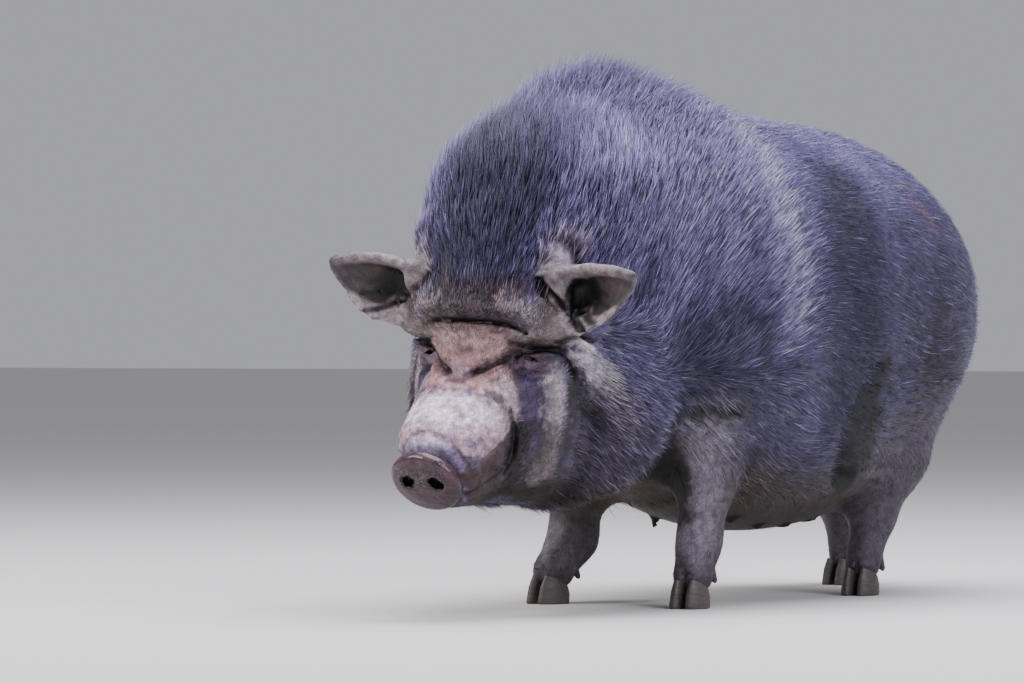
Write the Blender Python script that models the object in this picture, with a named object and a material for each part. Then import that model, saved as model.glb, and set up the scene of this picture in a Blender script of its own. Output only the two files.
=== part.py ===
"""A Vietnamese pot-bellied sow at life size, walking with her head low.

Metres, +Z up. She faces -Y, her left side is at +X, and she stands on the floor at Z = 0. Her flesh is a set of
named masses whose distances are blended into one surface, out to the tips of the coat. That surface is meshed
once, then parted with thin cuts into head, neck, trunk and legs. Ears, tail, snout disc, eyes and hooves are
solids of their own, seated in it.
"""

import itertools
import math

import bmesh
import bpy
import numpy as np
from mathutils import Euler, Matrix, Vector

GAP = 0.0003
STANDS_AT = Vector((-0.0018, 0.0810, 0.0))

# The head's own frame: X to her left, Y backwards, Z up, centred between the ears.
HEAD_AT = np.array((0.022, -0.425, 0.340))
HEAD_YAW, HEAD_ROLL = 5.0, 3.0

EYE_RADIUS = 0.0115
EYE_AT = (0.0530, -0.0510, -0.068)
EYE_OUTWARDS = 45.0
EYE_SLIT = (0.0110, 0.0130, 0.0035)
ORBIT_AT, ORBIT_HALF, ORBIT_BLEND = (0.070, -0.080, -0.069), (0.026, 0.018, 0.014), 0.012

DISC_AT = (0.0, -0.1610, -0.1945)
DISC_HALF_WIDTH, DISC_HALF_HEIGHT, DISC_THICKNESS = 0.0405, 0.0365, 0.016
DISC_PITCH = 38.0
DISC_CORNERS, DISC_RIM = 28, 0.0035
NOSTRIL_OUT, NOSTRIL_UP, NOSTRIL_RADIUS, NOSTRIL_DEPTH = 0.0165, 0.005, 0.0075, 0.011
NOSTRIL_FLATTENING, NOSTRIL_CORNERS, NOSTRIL_PROUD = 0.85, 12, 0.002

EAR_AT = (0.070, -0.028, -0.008)
EAR_LENGTH, EAR_ABOVE, EAR_BELOW = 0.1315, 0.038, 0.0415
EAR_THICKNESS, EAR_THICKER_AT_ROOT = 0.010, 0.014
EAR_RISE, EAR_FORWARD = 15.0, 25.0
EAR_CUP, EAR_CUP_AT_ROOT, EAR_CUP_REACH, EAR_SETBACK = 0.026, 0.016, 0.020, 0.010
EAR_THICK_REACH = 0.030
EAR_ROOT, EAR_LAST_RING = -0.025, 0.99

HOOF_LENGTH, HOOF_WIDTH, HOOF_HEIGHT = 0.044, 0.021, 0.032
HOOF_AHEAD, HOOF_CORNERS = 0.010, 14
# Each ring of the hoof's wall: its share of the height, its scale, and how far it leans back.
HOOF_RINGS = ((0.0, 0.94, 0.0), (0.06, 1.0, 0.0), (0.6, 0.93, 0.10), (1.0, 0.74, 0.20))
HOOF_TOE_INWARD, HOOF_TOE_NARROWING, HOOF_HEEL_DROP = 0.22, 0.18, 0.22
DEWCLAW_LENGTH, DEWCLAW_RADIUS, DEWCLAW_TAPER, DEWCLAW_FLATTENING = 0.020, 0.0065, 0.45, 0.8
DEWCLAW_OUT, DEWCLAW_BACK, DEWCLAW_UP, DEWCLAW_CORNERS = 0.0125, 0.022, 0.036, 12
DEWCLAW_PITCH, DEWCLAW_SPLAY = 205.0, 10.0

HIDE_COLOUR, HIDE_ROUGHNESS = (0.030, 0.028, 0.032), 0.75
LEG_COLOUR, LEG_ROUGHNESS = (0.040, 0.034, 0.036), 0.70
FACE_COLOUR, EAR_COLOUR, FACE_ROUGHNESS = (0.070, 0.058, 0.056), (0.060, 0.048, 0.050), 0.65
DISC_COLOUR, DISC_ROUGHNESS = (0.060, 0.040, 0.045), 0.35
EYE_COLOUR, EYE_ROUGHNESS = (0.030, 0.012, 0.006), 0.10
HORN_COLOUR, HORN_ROUGHNESS = (0.035, 0.028, 0.026), 0.45

# Each mass: centre, half lengths along X Y Z, pitch in degrees, and the reach of its blend with those before it.
TRUNK = {
    "barrel": ((0, 0.050, 0.325), (0.205, 0.300, 0.222), 0, 0.0),
    "shoulders": ((0, -0.160, 0.385), (0.150, 0.190, 0.188), 0, 0.10),
    "rump": ((0, 0.203, 0.326), (0.193, 0.211, 0.192), 0, 0.07),
    "belly": ((0, 0.050, 0.210), (0.150, 0.240, 0.128), 0, 0.07),
    "chest": ((0, -0.170, 0.260), (0.130, 0.130, 0.115), 0, 0.08),
}
NECK = {
    "throat": ((0, -0.310, 0.310), (0.145, 0.150, 0.175), 15, 0.0),
    "crest": ((0, -0.265, 0.425), (0.060, 0.170, 0.160), 20, 0.08),
    "nape": ((0.040, -0.285, 0.420), (0.095, 0.120, 0.108), 15, 0.06),
    "hackles": ((0.018, -0.378, 0.434), (0.096, 0.094, 0.080), 10, 0.07),
}
# In the head's frame. Those with a centre off the middle are the same on both sides.
HEAD = {
    "skull": ((0, 0.000, 0.010), (0.088, 0.090, 0.100), 0, 0.0),
    "poll": ((0, 0.040, 0.070), (0.092, 0.085, 0.085), 0, 0.05),
    "cheeks": ((0.050, 0.015, -0.105), (0.055, 0.078, 0.090), 0, 0.04),
    "jowls": ((0.085, 0.065, -0.120), (0.060, 0.080, 0.088), 0, 0.04),
    "double chin": ((0.040, 0.030, -0.165), (0.060, 0.075, 0.065), 0, 0.03),
    "forehead": ((0, -0.048, -0.030), (0.066, 0.058, 0.058), 0, 0.03),
}
# Tapered rods: start, end, their two radii, how much wider than high, and the reach of the blend.
HEAD_RODS = {
    "brow": ((0.050, -0.074, -0.014), (0.083, -0.046, -0.036), (0.019, 0.019), 1.0, 0.016),
    "temple": ((0.082, -0.052, -0.018), (0.076, -0.040, 0.050), (0.019, 0.018), 1.0, 0.016),
    "muzzle": ((0.0, -0.045, -0.092), (0.0, -0.130, -0.154), (0.050, 0.038), 1.42, 0.03),
    "lower jaw": ((0.0, 0.0, -0.172), (0.0, -0.112, -0.200), (0.050, 0.026), 1.3, 0.03),
}

# Each leg from the body down: joint centres and radii. The last joint is inside the foot.
LEGS = {
    "foreleg_left": (
        ((0.110, -0.200, 0.250), (0.105, -0.175, 0.150), (0.100, -0.183, 0.072), (0.101, -0.197, 0.036)),
        (0.070, 0.037, 0.023, 0.024),
    ),
    "foreleg_right": (
        ((-0.115, -0.190, 0.250), (-0.078, -0.155, 0.140), (-0.078, -0.166, 0.072), (-0.084, -0.196, 0.036)),
        (0.070, 0.038, 0.026, 0.025),
    ),
    "hindleg_left": (
        ((0.105, 0.185, 0.250), (0.106, 0.194, 0.160), (0.097, 0.189, 0.095), (0.094, 0.170, 0.036)),
        (0.094, 0.051, 0.026, 0.022),
    ),
    "hindleg_right": (
        ((-0.110, 0.240, 0.250), (-0.085, 0.335, 0.160), (-0.070, 0.402, 0.095), (-0.062, 0.388, 0.036)),
        (0.105, 0.055, 0.029, 0.022),
    ),
}
NECK_BLEND, HEAD_BLEND, LEG_BLEND, JOINT_BLEND, TAIL_BLEND = 0.08, 0.05, 0.03, 0.02, 0.008
# The heading of each foot in degrees, towards her left from straight ahead.
FOOT_HEADING = {"foreleg_left": 6, "foreleg_right": -10, "hindleg_left": 8, "hindleg_right": -6}

# Upright sleeves that part the legs from the trunk: centre and radius. Their tops are flat.
SLEEVES = {
    "foreleg_left": ((0.103, -0.184), 0.051),
    "foreleg_right": ((-0.079, -0.170), 0.054),
    "hindleg_left": ((0.102, 0.189), 0.058),
    "hindleg_right": ((-0.074, 0.362), 0.088),
}
SLEEVE_TOP = {"foreleg": 0.150, "hindleg": 0.165}
SLEEVE_BOTTOM, SLEEVE_CORNERS = -0.020, 24
# Planes that part the neck: a point, and the normal towards the head.
NECK_FRONT = (Vector((0.0, -0.365, 0.300)), Vector((0.0, -0.977, -0.214)))
NECK_BACK = (Vector((0.0, -0.262, 0.300)), Vector((0.0, -0.996, -0.087)))

TEAT_ROWS, TEAT_OUT, TEAT_FIRST, TEAT_LAST = 5, 0.052, -0.040, 0.180
TEAT_LENGTH, TEAT_RADIUS, TEAT_TIP, TEAT_CORNERS, TEAT_SEATED = 0.016, 0.0055, 0.6, 8, 0.25
# Heights between which the belly's underside is looked for, and how finely.
UNDERSIDE = (0.03, 0.30, 0.0005)

BODY_STEP, BODY_TRIANGLES = 0.010, 3300
BODY_LOW, BODY_HIGH = (-0.300, -0.720, -0.014), (0.300, 0.600, 0.700)
EYE_CORNERS = 14
EAR_RINGS, EAR_CORNERS = 12, 16
TAIL_STEP, TAIL_TRIANGLES = 0.005, 150
TAIL_LOW, TAIL_HIGH = (-0.04, 0.35, 0.13), (0.05, 0.48, 0.44)
SHARP_ANGLE = 50.0

TAIL = ((0, 0.385, 0.400), (0, 0.428, 0.375), (0.004, 0.440, 0.310), (0.008, 0.436, 0.240), (0.010, 0.430, 0.170))
TAIL_RADII = (0.020, 0.013, 0.010, 0.010, 0.014)


def turned(yaw=0.0, pitch=0.0, roll=0.0):
    """Axes turned by degrees: roll about Y, then pitch about X, then yaw about Z."""
    about_y = Matrix.Rotation(math.radians(roll), 3, "Y")
    about_x = Matrix.Rotation(math.radians(pitch), 3, "X")
    about_z = Matrix.Rotation(math.radians(yaw), 3, "Z")
    return np.array(about_z @ about_x @ about_y)


HEAD_AXES = turned(HEAD_YAW, 0.0, HEAD_ROLL)


def in_head(points):
    return (points - HEAD_AT) @ HEAD_AXES


def ellipsoid(points, centre, half, pitch=0.0):
    local = (points - np.array(centre)) @ turned(pitch=pitch)
    half = np.array(half)
    reach = np.linalg.norm(local / half, axis=1)
    slope = np.linalg.norm(local / half**2, axis=1)
    return reach * (reach - 1) / np.maximum(slope, 1e-9)


def rod(points, start, end, radii, widening=1.0):
    squash = np.array((1 / widening, 1, 1))
    start = np.array(start) * squash
    along = np.array(end) * squash - start
    local = points * squash - start
    share = np.clip(local @ along / (along @ along), 0, 1)
    radius = radii[0] + (radii[1] - radii[0]) * share
    return np.linalg.norm(local - share[:, None] * along, axis=1) - radius


def chain(points, joints, radii, reach):
    """Rods end to end, blended."""
    found = None
    for start, end, first, last in zip(joints, joints[1:], radii, radii[1:]):
        piece = rod(points, start, end, (first, last))
        found = piece if found is None else blend(found, piece, reach)
    return found


def blend(a, b, reach):
    """The distance to both shapes together, with a fillet where they meet."""
    if reach == 0.0:
        return np.minimum(a, b)
    share = np.clip(0.5 + 0.5 * (b - a) / reach, 0, 1)
    return b + (a - b) * share - reach * share * (1 - share)


def mirrored(points):
    return np.column_stack((np.abs(points[:, 0]), points[:, 1], points[:, 2]))


def masses(points, table, found=None):
    for centre, half, pitch, reach in table.values():
        piece = ellipsoid(points, centre, half, pitch)
        found = piece if found is None else blend(found, piece, reach)
    return found


def head_masses(points):
    """The head alone, with a shallow orbit round each eye."""
    local = in_head(points)
    folded = mirrored(local)
    found = masses(folded, HEAD)
    for start, end, radii, widening, reach in HEAD_RODS.values():
        found = blend(found, rod(folded, start, end, radii, widening), reach)
    return -blend(-found, ellipsoid(folded, ORBIT_AT, ORBIT_HALF), ORBIT_BLEND)


def flesh(points):
    """Distance to her surface, coat and all, without ears, snout disc, tail and hooves."""
    found = blend(masses(points, TRUNK), masses(points, NECK), NECK_BLEND)
    found = blend(found, head_masses(points), HEAD_BLEND)
    for joints, radii in LEGS.values():
        found = blend(found, chain(points, joints, radii, JOINT_BLEND), LEG_BLEND)
    return found


def ear_axes():
    """Columns: along the ear to its tip, across it upwards, and out of its hollow, for the left ear."""
    rise, forward = math.radians(EAR_RISE), math.radians(EAR_FORWARD)
    along = Vector((math.cos(rise) * math.cos(forward), -math.cos(rise) * math.sin(forward), math.sin(rise)))
    hollow = Vector((0.0, -1.0, -0.15))
    hollow = (hollow - along * hollow.dot(along)).normalized()
    return np.column_stack((along, hollow.cross(along), hollow))


def ear_leaf(along, across):
    """How far the middle of the ear's thickness lies out of its hollow side."""
    rolled = EAR_CUP_AT_ROOT * np.exp(-np.maximum(along, 0) / EAR_CUP_REACH)
    return EAR_CUP * (across / EAR_ABOVE) ** 2 - EAR_SETBACK + rolled


def ear_edges(along):
    """How far the ear reaches above and below its middle line: a straight upper edge and a full lower one."""
    far = np.clip(along / EAR_LENGTH, 0, 1)
    return EAR_ABOVE * (1 - far**2) ** 0.8, EAR_BELOW * (1 - far**2.4) ** 0.6


def tail(points):
    return chain(points, TAIL, TAIL_RADII, TAIL_BLEND)


# ---- meshes ----


def surface_net(distance, low, high, step):
    """Vertices and quads where the distance is zero: a vertex in each cell of a grid that the surface crosses."""
    low = np.array(low)
    counts = np.ceil((np.array(high) - low) / step).astype(int) + 1
    x, y, z = (low[axis] + np.arange(counts[axis]) * step for axis in range(3))
    slabs = (np.stack(np.meshgrid([at], y, z, indexing="ij"), -1).reshape(-1, 3) for at in x)
    field = np.stack([distance(slab).reshape(counts[1:]) for slab in slabs])
    cells = counts - 1
    corners = {
        corner: field[tuple(slice(first, first + count) for first, count in zip(corner, cells))]
        for corner in itertools.product((0, 1), repeat=3)
    }
    inside = sum((values < 0).astype(int) for values in corners.values())
    crossed = (inside > 0) & (inside < 8)
    total = np.zeros((crossed.sum(), 3))
    crossings = np.zeros(len(total))
    for corner, axis in itertools.product(corners, range(3)):
        if corner[axis]:
            continue
        step_on = np.eye(3, dtype=int)[axis]
        first = corners[corner][crossed]
        last = corners[tuple(np.array(corner) + step_on)][crossed]
        cut = (first < 0) != (last < 0)
        share = first[cut] / (first[cut] - last[cut])
        total[cut] += np.array(corner) + share[:, None] * step_on
        crossings[cut] += 1
    vertices = low + (np.argwhere(crossed) + total / crossings[:, None]) * step
    number = np.full(cells, -1)
    number[crossed] = np.arange(len(vertices))
    quads = [quads_across(field < 0, number, axis) for axis in range(3)]
    return vertices, np.concatenate(quads)


def quads_across(inside, number, axis):
    """The quads round those grid edges along one axis that the surface crosses, facing outwards."""
    order = (axis, (axis + 1) % 3, (axis + 2) % 3)
    inside, number = np.transpose(inside, order), np.transpose(number, order)
    first, last = inside[:-1, 1:-1, 1:-1], inside[1:, 1:-1, 1:-1]
    i, j, k = np.nonzero(first != last)
    ring = np.stack((number[i, j, k], number[i, j + 1, k], number[i, j + 1, k + 1], number[i, j, k + 1]), 1)
    backwards = ~first[i, j, k]
    ring[backwards] = ring[backwards][:, ::-1]
    return ring


def material(name, colour, roughness):
    made = bpy.data.materials.new(name)
    made.use_nodes = True
    shader = made.node_tree.nodes["Principled BSDF"]
    shader.inputs["Base Color"].default_value = (*colour, 1)
    shader.inputs["Roughness"].default_value = roughness
    shader.inputs["Metallic"].default_value = 0.0
    return made


def solid(name, mesh, colour=None, roughness=0.6, helper=False):
    """An object in the scene, standing where she stands."""
    made = bpy.data.objects.new(name, mesh)
    bpy.context.scene.collection.objects.link(made)
    made.parent = stand
    mesh.shade_smooth()
    mesh.set_sharp_from_angle(angle=math.radians(SHARP_ANGLE))
    if helper:
        made.hide_render = True
        made.display_type = "WIRE"
    else:
        mesh.materials.clear()
        mesh.materials.append(material(name, colour, roughness))
    return made


def boolean(target, operation, cutter):
    made = target.modifiers.new(f"{operation.lower()} {cutter.name}", "BOOLEAN")
    made.operation = operation
    made.object = cutter


def mesh_of(name, vertices, faces):
    mesh = bpy.data.meshes.new(name)
    mesh.from_pydata(vertices.tolist(), [], faces.tolist())
    return mesh


def thinned(mesh, triangles):
    """The same surface with about this many triangles."""
    holder = bpy.data.objects.new("holder", mesh)
    bpy.context.scene.collection.objects.link(holder)
    decimate = holder.modifiers.new("thin", "DECIMATE")
    decimate.ratio = triangles / (2 * len(mesh.polygons))
    graph = bpy.context.evaluated_depsgraph_get()
    found = bpy.data.meshes.new_from_object(holder.evaluated_get(graph))
    bpy.data.objects.remove(holder)
    return found


def beyond(mesh, point, normal):
    """The side of a closed mesh that the normal points to, closed by a flat face half a gap from the plane."""
    form = bmesh.new()
    form.from_mesh(mesh)
    bmesh.ops.bisect_plane(
        form,
        geom=form.verts[:] + form.edges[:] + form.faces[:],
        dist=1e-7,
        plane_co=point + normal.normalized() * GAP / 2,
        plane_no=normal,
        clear_inner=True,
    )
    bmesh.ops.holes_fill(form, edges=[edge for edge in form.edges if edge.is_boundary], sides=0)
    return mesh_from(form, mesh.name)


def mesh_from(form, name):
    mesh = bpy.data.meshes.new(name)
    form.to_mesh(mesh)
    form.free()
    return mesh


def grown(mesh, by):
    """The same mesh with each vertex moved out along its normal."""
    form = bmesh.new()
    form.from_mesh(mesh)
    for vertex in form.verts:
        vertex.co += vertex.normal * by
    return mesh_from(form, mesh.name + "_grown")


def head_place(local):
    """A place given in the head's frame, in hers."""
    return Vector(HEAD_AXES @ np.array(local) + HEAD_AT)


def head_matrix(local, pitch=0.0):
    return Matrix.Translation(head_place(local)) @ Matrix(HEAD_AXES @ turned(pitch=pitch)).to_4x4()


def ball(name, radii, matrix):
    form = bmesh.new()
    bmesh.ops.create_uvsphere(form, u_segments=EYE_CORNERS, v_segments=EYE_CORNERS // 2, radius=1.0)
    bmesh.ops.transform(form, matrix=matrix @ Matrix.Diagonal((*radii, 1)), verts=form.verts)
    return mesh_from(form, name)


def barrel(name, radii, depth, matrix, corners, taper=1.0):
    """A closed round bar along its own Z, from one radius pair to that times the taper."""
    form = bmesh.new()
    bmesh.ops.create_cone(form, cap_ends=True, segments=corners, radius1=1.0, radius2=taper, depth=depth)
    bmesh.ops.transform(form, matrix=matrix @ Matrix.Diagonal((*radii, 1, 1)), verts=form.verts)
    return mesh_from(form, name)


def hoof_mesh(name, side, grow):
    """One claw of a cloven hoof: a flat sole, a wall that leans back, and a coronet lower at the heel."""
    form = bmesh.new()
    half_width, half_length = HOOF_WIDTH / 2 + grow, HOOF_LENGTH / 2 + grow
    rings = []
    for height, scale, back in HOOF_RINGS:
        ring = []
        for corner in range(HOOF_CORNERS):
            angle = math.tau * corner / HOOF_CORNERS
            ahead = math.cos(angle)
            toe = max(ahead, 0)
            inward = side * HOOF_TOE_INWARD * toe**2
            across = half_width * scale * (math.sin(angle) * (1 - HOOF_TOE_NARROWING * toe) - inward)
            along = -half_length * (scale * ahead - back)
            coronet = HOOF_HEIGHT * (1 - HOOF_HEEL_DROP + HOOF_HEEL_DROP * ahead) + grow
            ring.append(form.verts.new((across, along, height * coronet - grow * (height == 0.0))))
        rings.append(ring)
    for lower, upper in zip(rings, rings[1:]):
        for corner in range(HOOF_CORNERS):
            following = (corner + 1) % HOOF_CORNERS
            form.faces.new((lower[corner], lower[following], upper[following], upper[corner]))
    form.faces.new(rings[0][::-1])
    form.faces.new(rings[-1])
    bmesh.ops.recalc_face_normals(form, faces=form.faces)
    return mesh_from(form, name)


def foot_matrix(leg):
    x, y, _ = LEGS[leg][0][-1]
    return Matrix.Translation((x, y, 0)) @ Matrix.Rotation(math.radians(FOOT_HEADING[leg]), 4, "Z")


def claws(leg):
    """Two hooves on the floor and two dewclaws behind them, each with a grown twin that cuts its seat."""
    for side, side_name in ((1, "outer"), (-1, "inner")):
        outward = side if leg.endswith("left") else -side
        spot = foot_matrix(leg) @ Matrix.Translation((outward * (HOOF_WIDTH / 2 + GAP), -HOOF_AHEAD, 0))
        for grow, helper in ((0.0, False), (GAP, True)):
            name = f"hoof_{leg}_{side_name}" + "_seat" * helper
            mesh = hoof_mesh(name, outward, grow)
            mesh.transform(spot)
            yield solid(name, mesh, HORN_COLOUR, HORN_ROUGHNESS, helper), helper
        spot = foot_matrix(leg) @ Matrix.Translation((outward * DEWCLAW_OUT, DEWCLAW_BACK, DEWCLAW_UP))
        lean = Euler((math.radians(DEWCLAW_PITCH), math.radians(-DEWCLAW_SPLAY * outward), 0))
        spot = spot @ lean.to_matrix().to_4x4()
        for grow, helper in ((0.0, False), (GAP, True)):
            name = f"dewclaw_{leg}_{side_name}" + "_seat" * helper
            radii = (DEWCLAW_RADIUS + grow, DEWCLAW_RADIUS * DEWCLAW_FLATTENING + grow)
            mesh = barrel(name, radii, DEWCLAW_LENGTH + 2 * grow, spot, DEWCLAW_CORNERS, DEWCLAW_TAPER)
            yield solid(name, mesh, HORN_COLOUR, HORN_ROUGHNESS, helper), helper


def sleeve(leg, grow):
    (x, y), radius = SLEEVES[leg]
    top = SLEEVE_TOP[leg.split("_")[0]] + grow
    middle = Matrix.Translation((x, y, (top + SLEEVE_BOTTOM) / 2))
    name = f"sleeve_{leg}_{'wide' if grow else 'close'}"
    mesh = barrel(name, (radius + grow,) * 2, top - SLEEVE_BOTTOM, middle, SLEEVE_CORNERS)
    return solid(name, mesh, helper=True)


def underside(x, y):
    """The height of the belly's surface above one place on the floor."""
    heights = np.arange(*UNDERSIDE)
    line = np.column_stack((np.full_like(heights, x), np.full_like(heights, y), heights))
    return float(heights[np.argmax(flesh(line) < 0)])


def teats():
    form = bmesh.new()
    for row, side in itertools.product(range(TEAT_ROWS), (1, -1)):
        y = TEAT_FIRST + (TEAT_LAST - TEAT_FIRST) * row / (TEAT_ROWS - 1)
        x = side * TEAT_OUT
        spot = Matrix.Translation((x, y, underside(x, y) - TEAT_LENGTH * TEAT_SEATED))
        made = bmesh.ops.create_cone(
            form,
            cap_ends=True,
            segments=TEAT_CORNERS,
            radius1=TEAT_TIP * TEAT_RADIUS,
            radius2=TEAT_RADIUS,
            depth=TEAT_LENGTH,
        )
        bmesh.ops.transform(form, matrix=spot, verts=made["verts"])
    return solid("teats", mesh_from(form, "teats"), helper=True)


def add_trunk(body):
    mesh = beyond(body, NECK_BACK[0], -NECK_BACK[1])
    trunk = solid("trunk", mesh, HIDE_COLOUR, HIDE_ROUGHNESS)
    boolean(trunk, "UNION", teats())
    for leg in LEGS:
        boolean(trunk, "DIFFERENCE", sleeve(leg, GAP))
        limb = solid(leg, mesh.copy(), LEG_COLOUR, LEG_ROUGHNESS)
        boolean(limb, "INTERSECT", sleeve(leg, 0.0))
        for claw, is_seat in claws(leg):
            if is_seat:
                boolean(limb, "DIFFERENCE", claw)


def add_neck(body):
    mesh = beyond(body, NECK_BACK[0], NECK_BACK[1])
    mesh = beyond(mesh, NECK_FRONT[0], -NECK_FRONT[1])
    solid("neck", mesh, HIDE_COLOUR, HIDE_ROUGHNESS)


def add_disc(head):
    radii = (DISC_HALF_WIDTH, DISC_HALF_HEIGHT)
    spot = head_matrix(DISC_AT, DISC_PITCH) @ Matrix.Rotation(math.pi / 2, 4, "X")
    mesh = barrel("snout_disc", radii, DISC_THICKNESS, spot, DISC_CORNERS)
    disc = solid("snout_disc", mesh, DISC_COLOUR, DISC_ROUGHNESS)
    rim = disc.modifiers.new("rim", "BEVEL")
    rim.width = DISC_RIM
    rim.segments = 2
    opening = (NOSTRIL_RADIUS, NOSTRIL_RADIUS * NOSTRIL_FLATTENING)
    depth = NOSTRIL_DEPTH + NOSTRIL_PROUD
    for side, name in ((1, "left"), (-1, "right")):
        hole = (side * NOSTRIL_OUT, NOSTRIL_UP, (DISC_THICKNESS - NOSTRIL_DEPTH + NOSTRIL_PROUD) / 2)
        mesh = barrel(f"nostril_{name}", opening, depth, spot @ Matrix.Translation(hole), NOSTRIL_CORNERS)
        boolean(disc, "DIFFERENCE", solid(f"nostril_{name}", mesh, helper=True))
    wide = [radius + GAP for radius in radii]
    seat = barrel("disc_seat", wide, DISC_THICKNESS + 2 * GAP, spot, DISC_CORNERS)
    boolean(head, "DIFFERENCE", solid("disc_seat", seat, helper=True))


def add_eyes(head):
    for side, name in ((1, "left"), (-1, "right")):
        x, y, z = EYE_AT
        spot = head_matrix((side * x, y, z))
        mesh = ball(f"eye_{name}", (EYE_RADIUS,) * 3, spot)
        solid(f"eye_{name}", mesh, EYE_COLOUR, EYE_ROUGHNESS)
        socket = ball(f"socket_{name}", (EYE_RADIUS + GAP,) * 3, spot)
        boolean(head, "DIFFERENCE", solid(f"socket_{name}", socket, helper=True))
        outwards = Matrix.Rotation(math.radians(side * EYE_OUTWARDS), 4, "Z")
        opening = spot @ outwards @ Matrix.Translation((0, -EYE_RADIUS, 0))
        slit = ball(f"slit_{name}", EYE_SLIT, opening)
        boolean(head, "DIFFERENCE", solid(f"slit_{name}", slit, helper=True))


def ear_mesh(name, side):
    """A cupped leaf lofted from flat rings across it, rolled forwards at its root."""
    form = bmesh.new()
    rings = []
    for along in np.linspace(EAR_ROOT, EAR_LAST_RING * EAR_LENGTH, EAR_RINGS):
        turns = math.tau * np.arange(EAR_CORNERS) / EAR_CORNERS
        above, below = ear_edges(along)
        across = np.where(np.cos(turns) > 0, above, below) * np.cos(turns)
        slope = 2 * EAR_CUP * across / EAR_ABOVE**2
        lean = np.sqrt(1 + slope**2)
        thickness = EAR_THICKNESS + EAR_THICKER_AT_ROOT * math.exp(-((max(along, 0) / EAR_THICK_REACH) ** 2))
        lift = thickness / 2 * np.sin(turns) / lean
        out = ear_leaf(along, across) + lift
        local = np.column_stack((np.full_like(across, along), across - slope * lift, out))
        places = (local @ ear_axes().T + np.array(EAR_AT)) * (side, 1, 1)
        rings.append([form.verts.new(head_place(place)) for place in places])
    for lower, upper in zip(rings, rings[1:]):
        for corner in range(EAR_CORNERS):
            following = (corner + 1) % EAR_CORNERS
            form.faces.new((lower[corner], lower[following], upper[following], upper[corner]))
    form.faces.new(rings[0])
    form.faces.new(rings[-1])
    bmesh.ops.recalc_face_normals(form, faces=form.faces)
    return mesh_from(form, name)


def add_ears(body):
    seat = solid("ear_seat", grown(body, GAP), helper=True)
    for side, name in ((1, "left"), (-1, "right")):
        lobe = solid(f"ear_{name}", ear_mesh(f"ear_{name}", side), EAR_COLOUR, FACE_ROUGHNESS)
        boolean(lobe, "DIFFERENCE", seat)


def add_tail(body):
    seat = solid("tail_seat", grown(body, GAP), helper=True)
    mesh = mesh_of("tail", *surface_net(tail, TAIL_LOW, TAIL_HIGH, TAIL_STEP))
    made = solid("tail", thinned(mesh, TAIL_TRIANGLES), LEG_COLOUR, LEG_ROUGHNESS)
    boolean(made, "DIFFERENCE", seat)


for startup in list(bpy.data.objects):
    bpy.data.objects.remove(startup)
stand = bpy.data.objects.new("stand", None)
bpy.context.scene.collection.objects.link(stand)
stand.location = STANDS_AT

whole = thinned(mesh_of("body", *surface_net(flesh, BODY_LOW, BODY_HIGH, BODY_STEP)), BODY_TRIANGLES)
add_trunk(whole)
add_neck(whole)
sow_head = solid("head", beyond(whole, *NECK_FRONT), FACE_COLOUR, FACE_ROUGHNESS)
add_ears(whole)
add_eyes(sow_head)
add_disc(sow_head)
add_tail(whole)
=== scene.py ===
"""The looks of a Vietnamese pot-bellied sow at life size, walking with her head low.

One skin stands for all her flesh. It is the same blend of masses as the CAD solids, drawn in by the depth of the
coat, with ears, snout disc, tail and teats blended on and the folds, lids, nostrils and mouth pressed in. Over it
lies a coat of thin closed spikes that follow the lie of the hair. Skin and coat take their colours from one set of
markings, which hold painted sheen, highlights and shade as well as her own colours. Eyes and claws are pieces of
their own.
"""

import itertools
import math

import bmesh
import bpy
import numpy as np
from mathutils import Euler, Matrix, Vector


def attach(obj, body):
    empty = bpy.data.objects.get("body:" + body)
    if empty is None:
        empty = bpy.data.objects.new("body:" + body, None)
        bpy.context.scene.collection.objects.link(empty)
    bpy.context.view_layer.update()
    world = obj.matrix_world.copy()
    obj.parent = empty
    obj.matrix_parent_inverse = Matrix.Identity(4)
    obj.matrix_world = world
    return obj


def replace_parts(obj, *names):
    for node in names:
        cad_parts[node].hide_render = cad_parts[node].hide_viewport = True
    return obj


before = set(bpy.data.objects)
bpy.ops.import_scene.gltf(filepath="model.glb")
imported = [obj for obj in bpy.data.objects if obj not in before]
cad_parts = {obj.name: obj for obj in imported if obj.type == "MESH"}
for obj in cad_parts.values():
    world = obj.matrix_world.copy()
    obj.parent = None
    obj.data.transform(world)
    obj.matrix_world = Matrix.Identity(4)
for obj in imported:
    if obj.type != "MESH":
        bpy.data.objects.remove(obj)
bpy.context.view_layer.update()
chance = np.random.default_rng(11)

# ---- her shape, as in the CAD source ----

STANDS_AT = Vector((-0.0018, 0.081, 0.0))
HEAD_AT = np.array((0.022, -0.425, 0.34))
HEAD_YAW, HEAD_ROLL = 5.0, 3.0

EYE_RADIUS = 0.0115
EYE_AT = np.array((0.053, -0.051, -0.068))
EYE_OUTWARDS = 45.0
LID_THICKNESS, LID_BLEND, LID_EDGE = 0.0013, 0.004, 0.0012
EYE_OPENING_AT, EYE_OPENING_HALF = (0, -0.012, 0.0032), (0.0098, 0.0065, 0.0024)
ORBIT_AT, ORBIT_HALF = (0.07, -0.08, -0.069), (0.026, 0.018, 0.014)

DISC_AT = np.array((0.0, -0.161, -0.1945))
DISC_HALF_WIDTH, DISC_HALF_HEIGHT, DISC_THICKNESS = 0.0405, 0.0365, 0.016
DISC_ROUNDING, DISC_BLEND, DISC_PITCH = 0.0062, 0.007, 38.0
NOSTRIL_OUT, NOSTRIL_UP, NOSTRIL_HALF = 0.0165, 0.005, (0.0092, 0.0125, 0.0074)
NOSTRIL_EDGE = 0.0025

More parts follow.
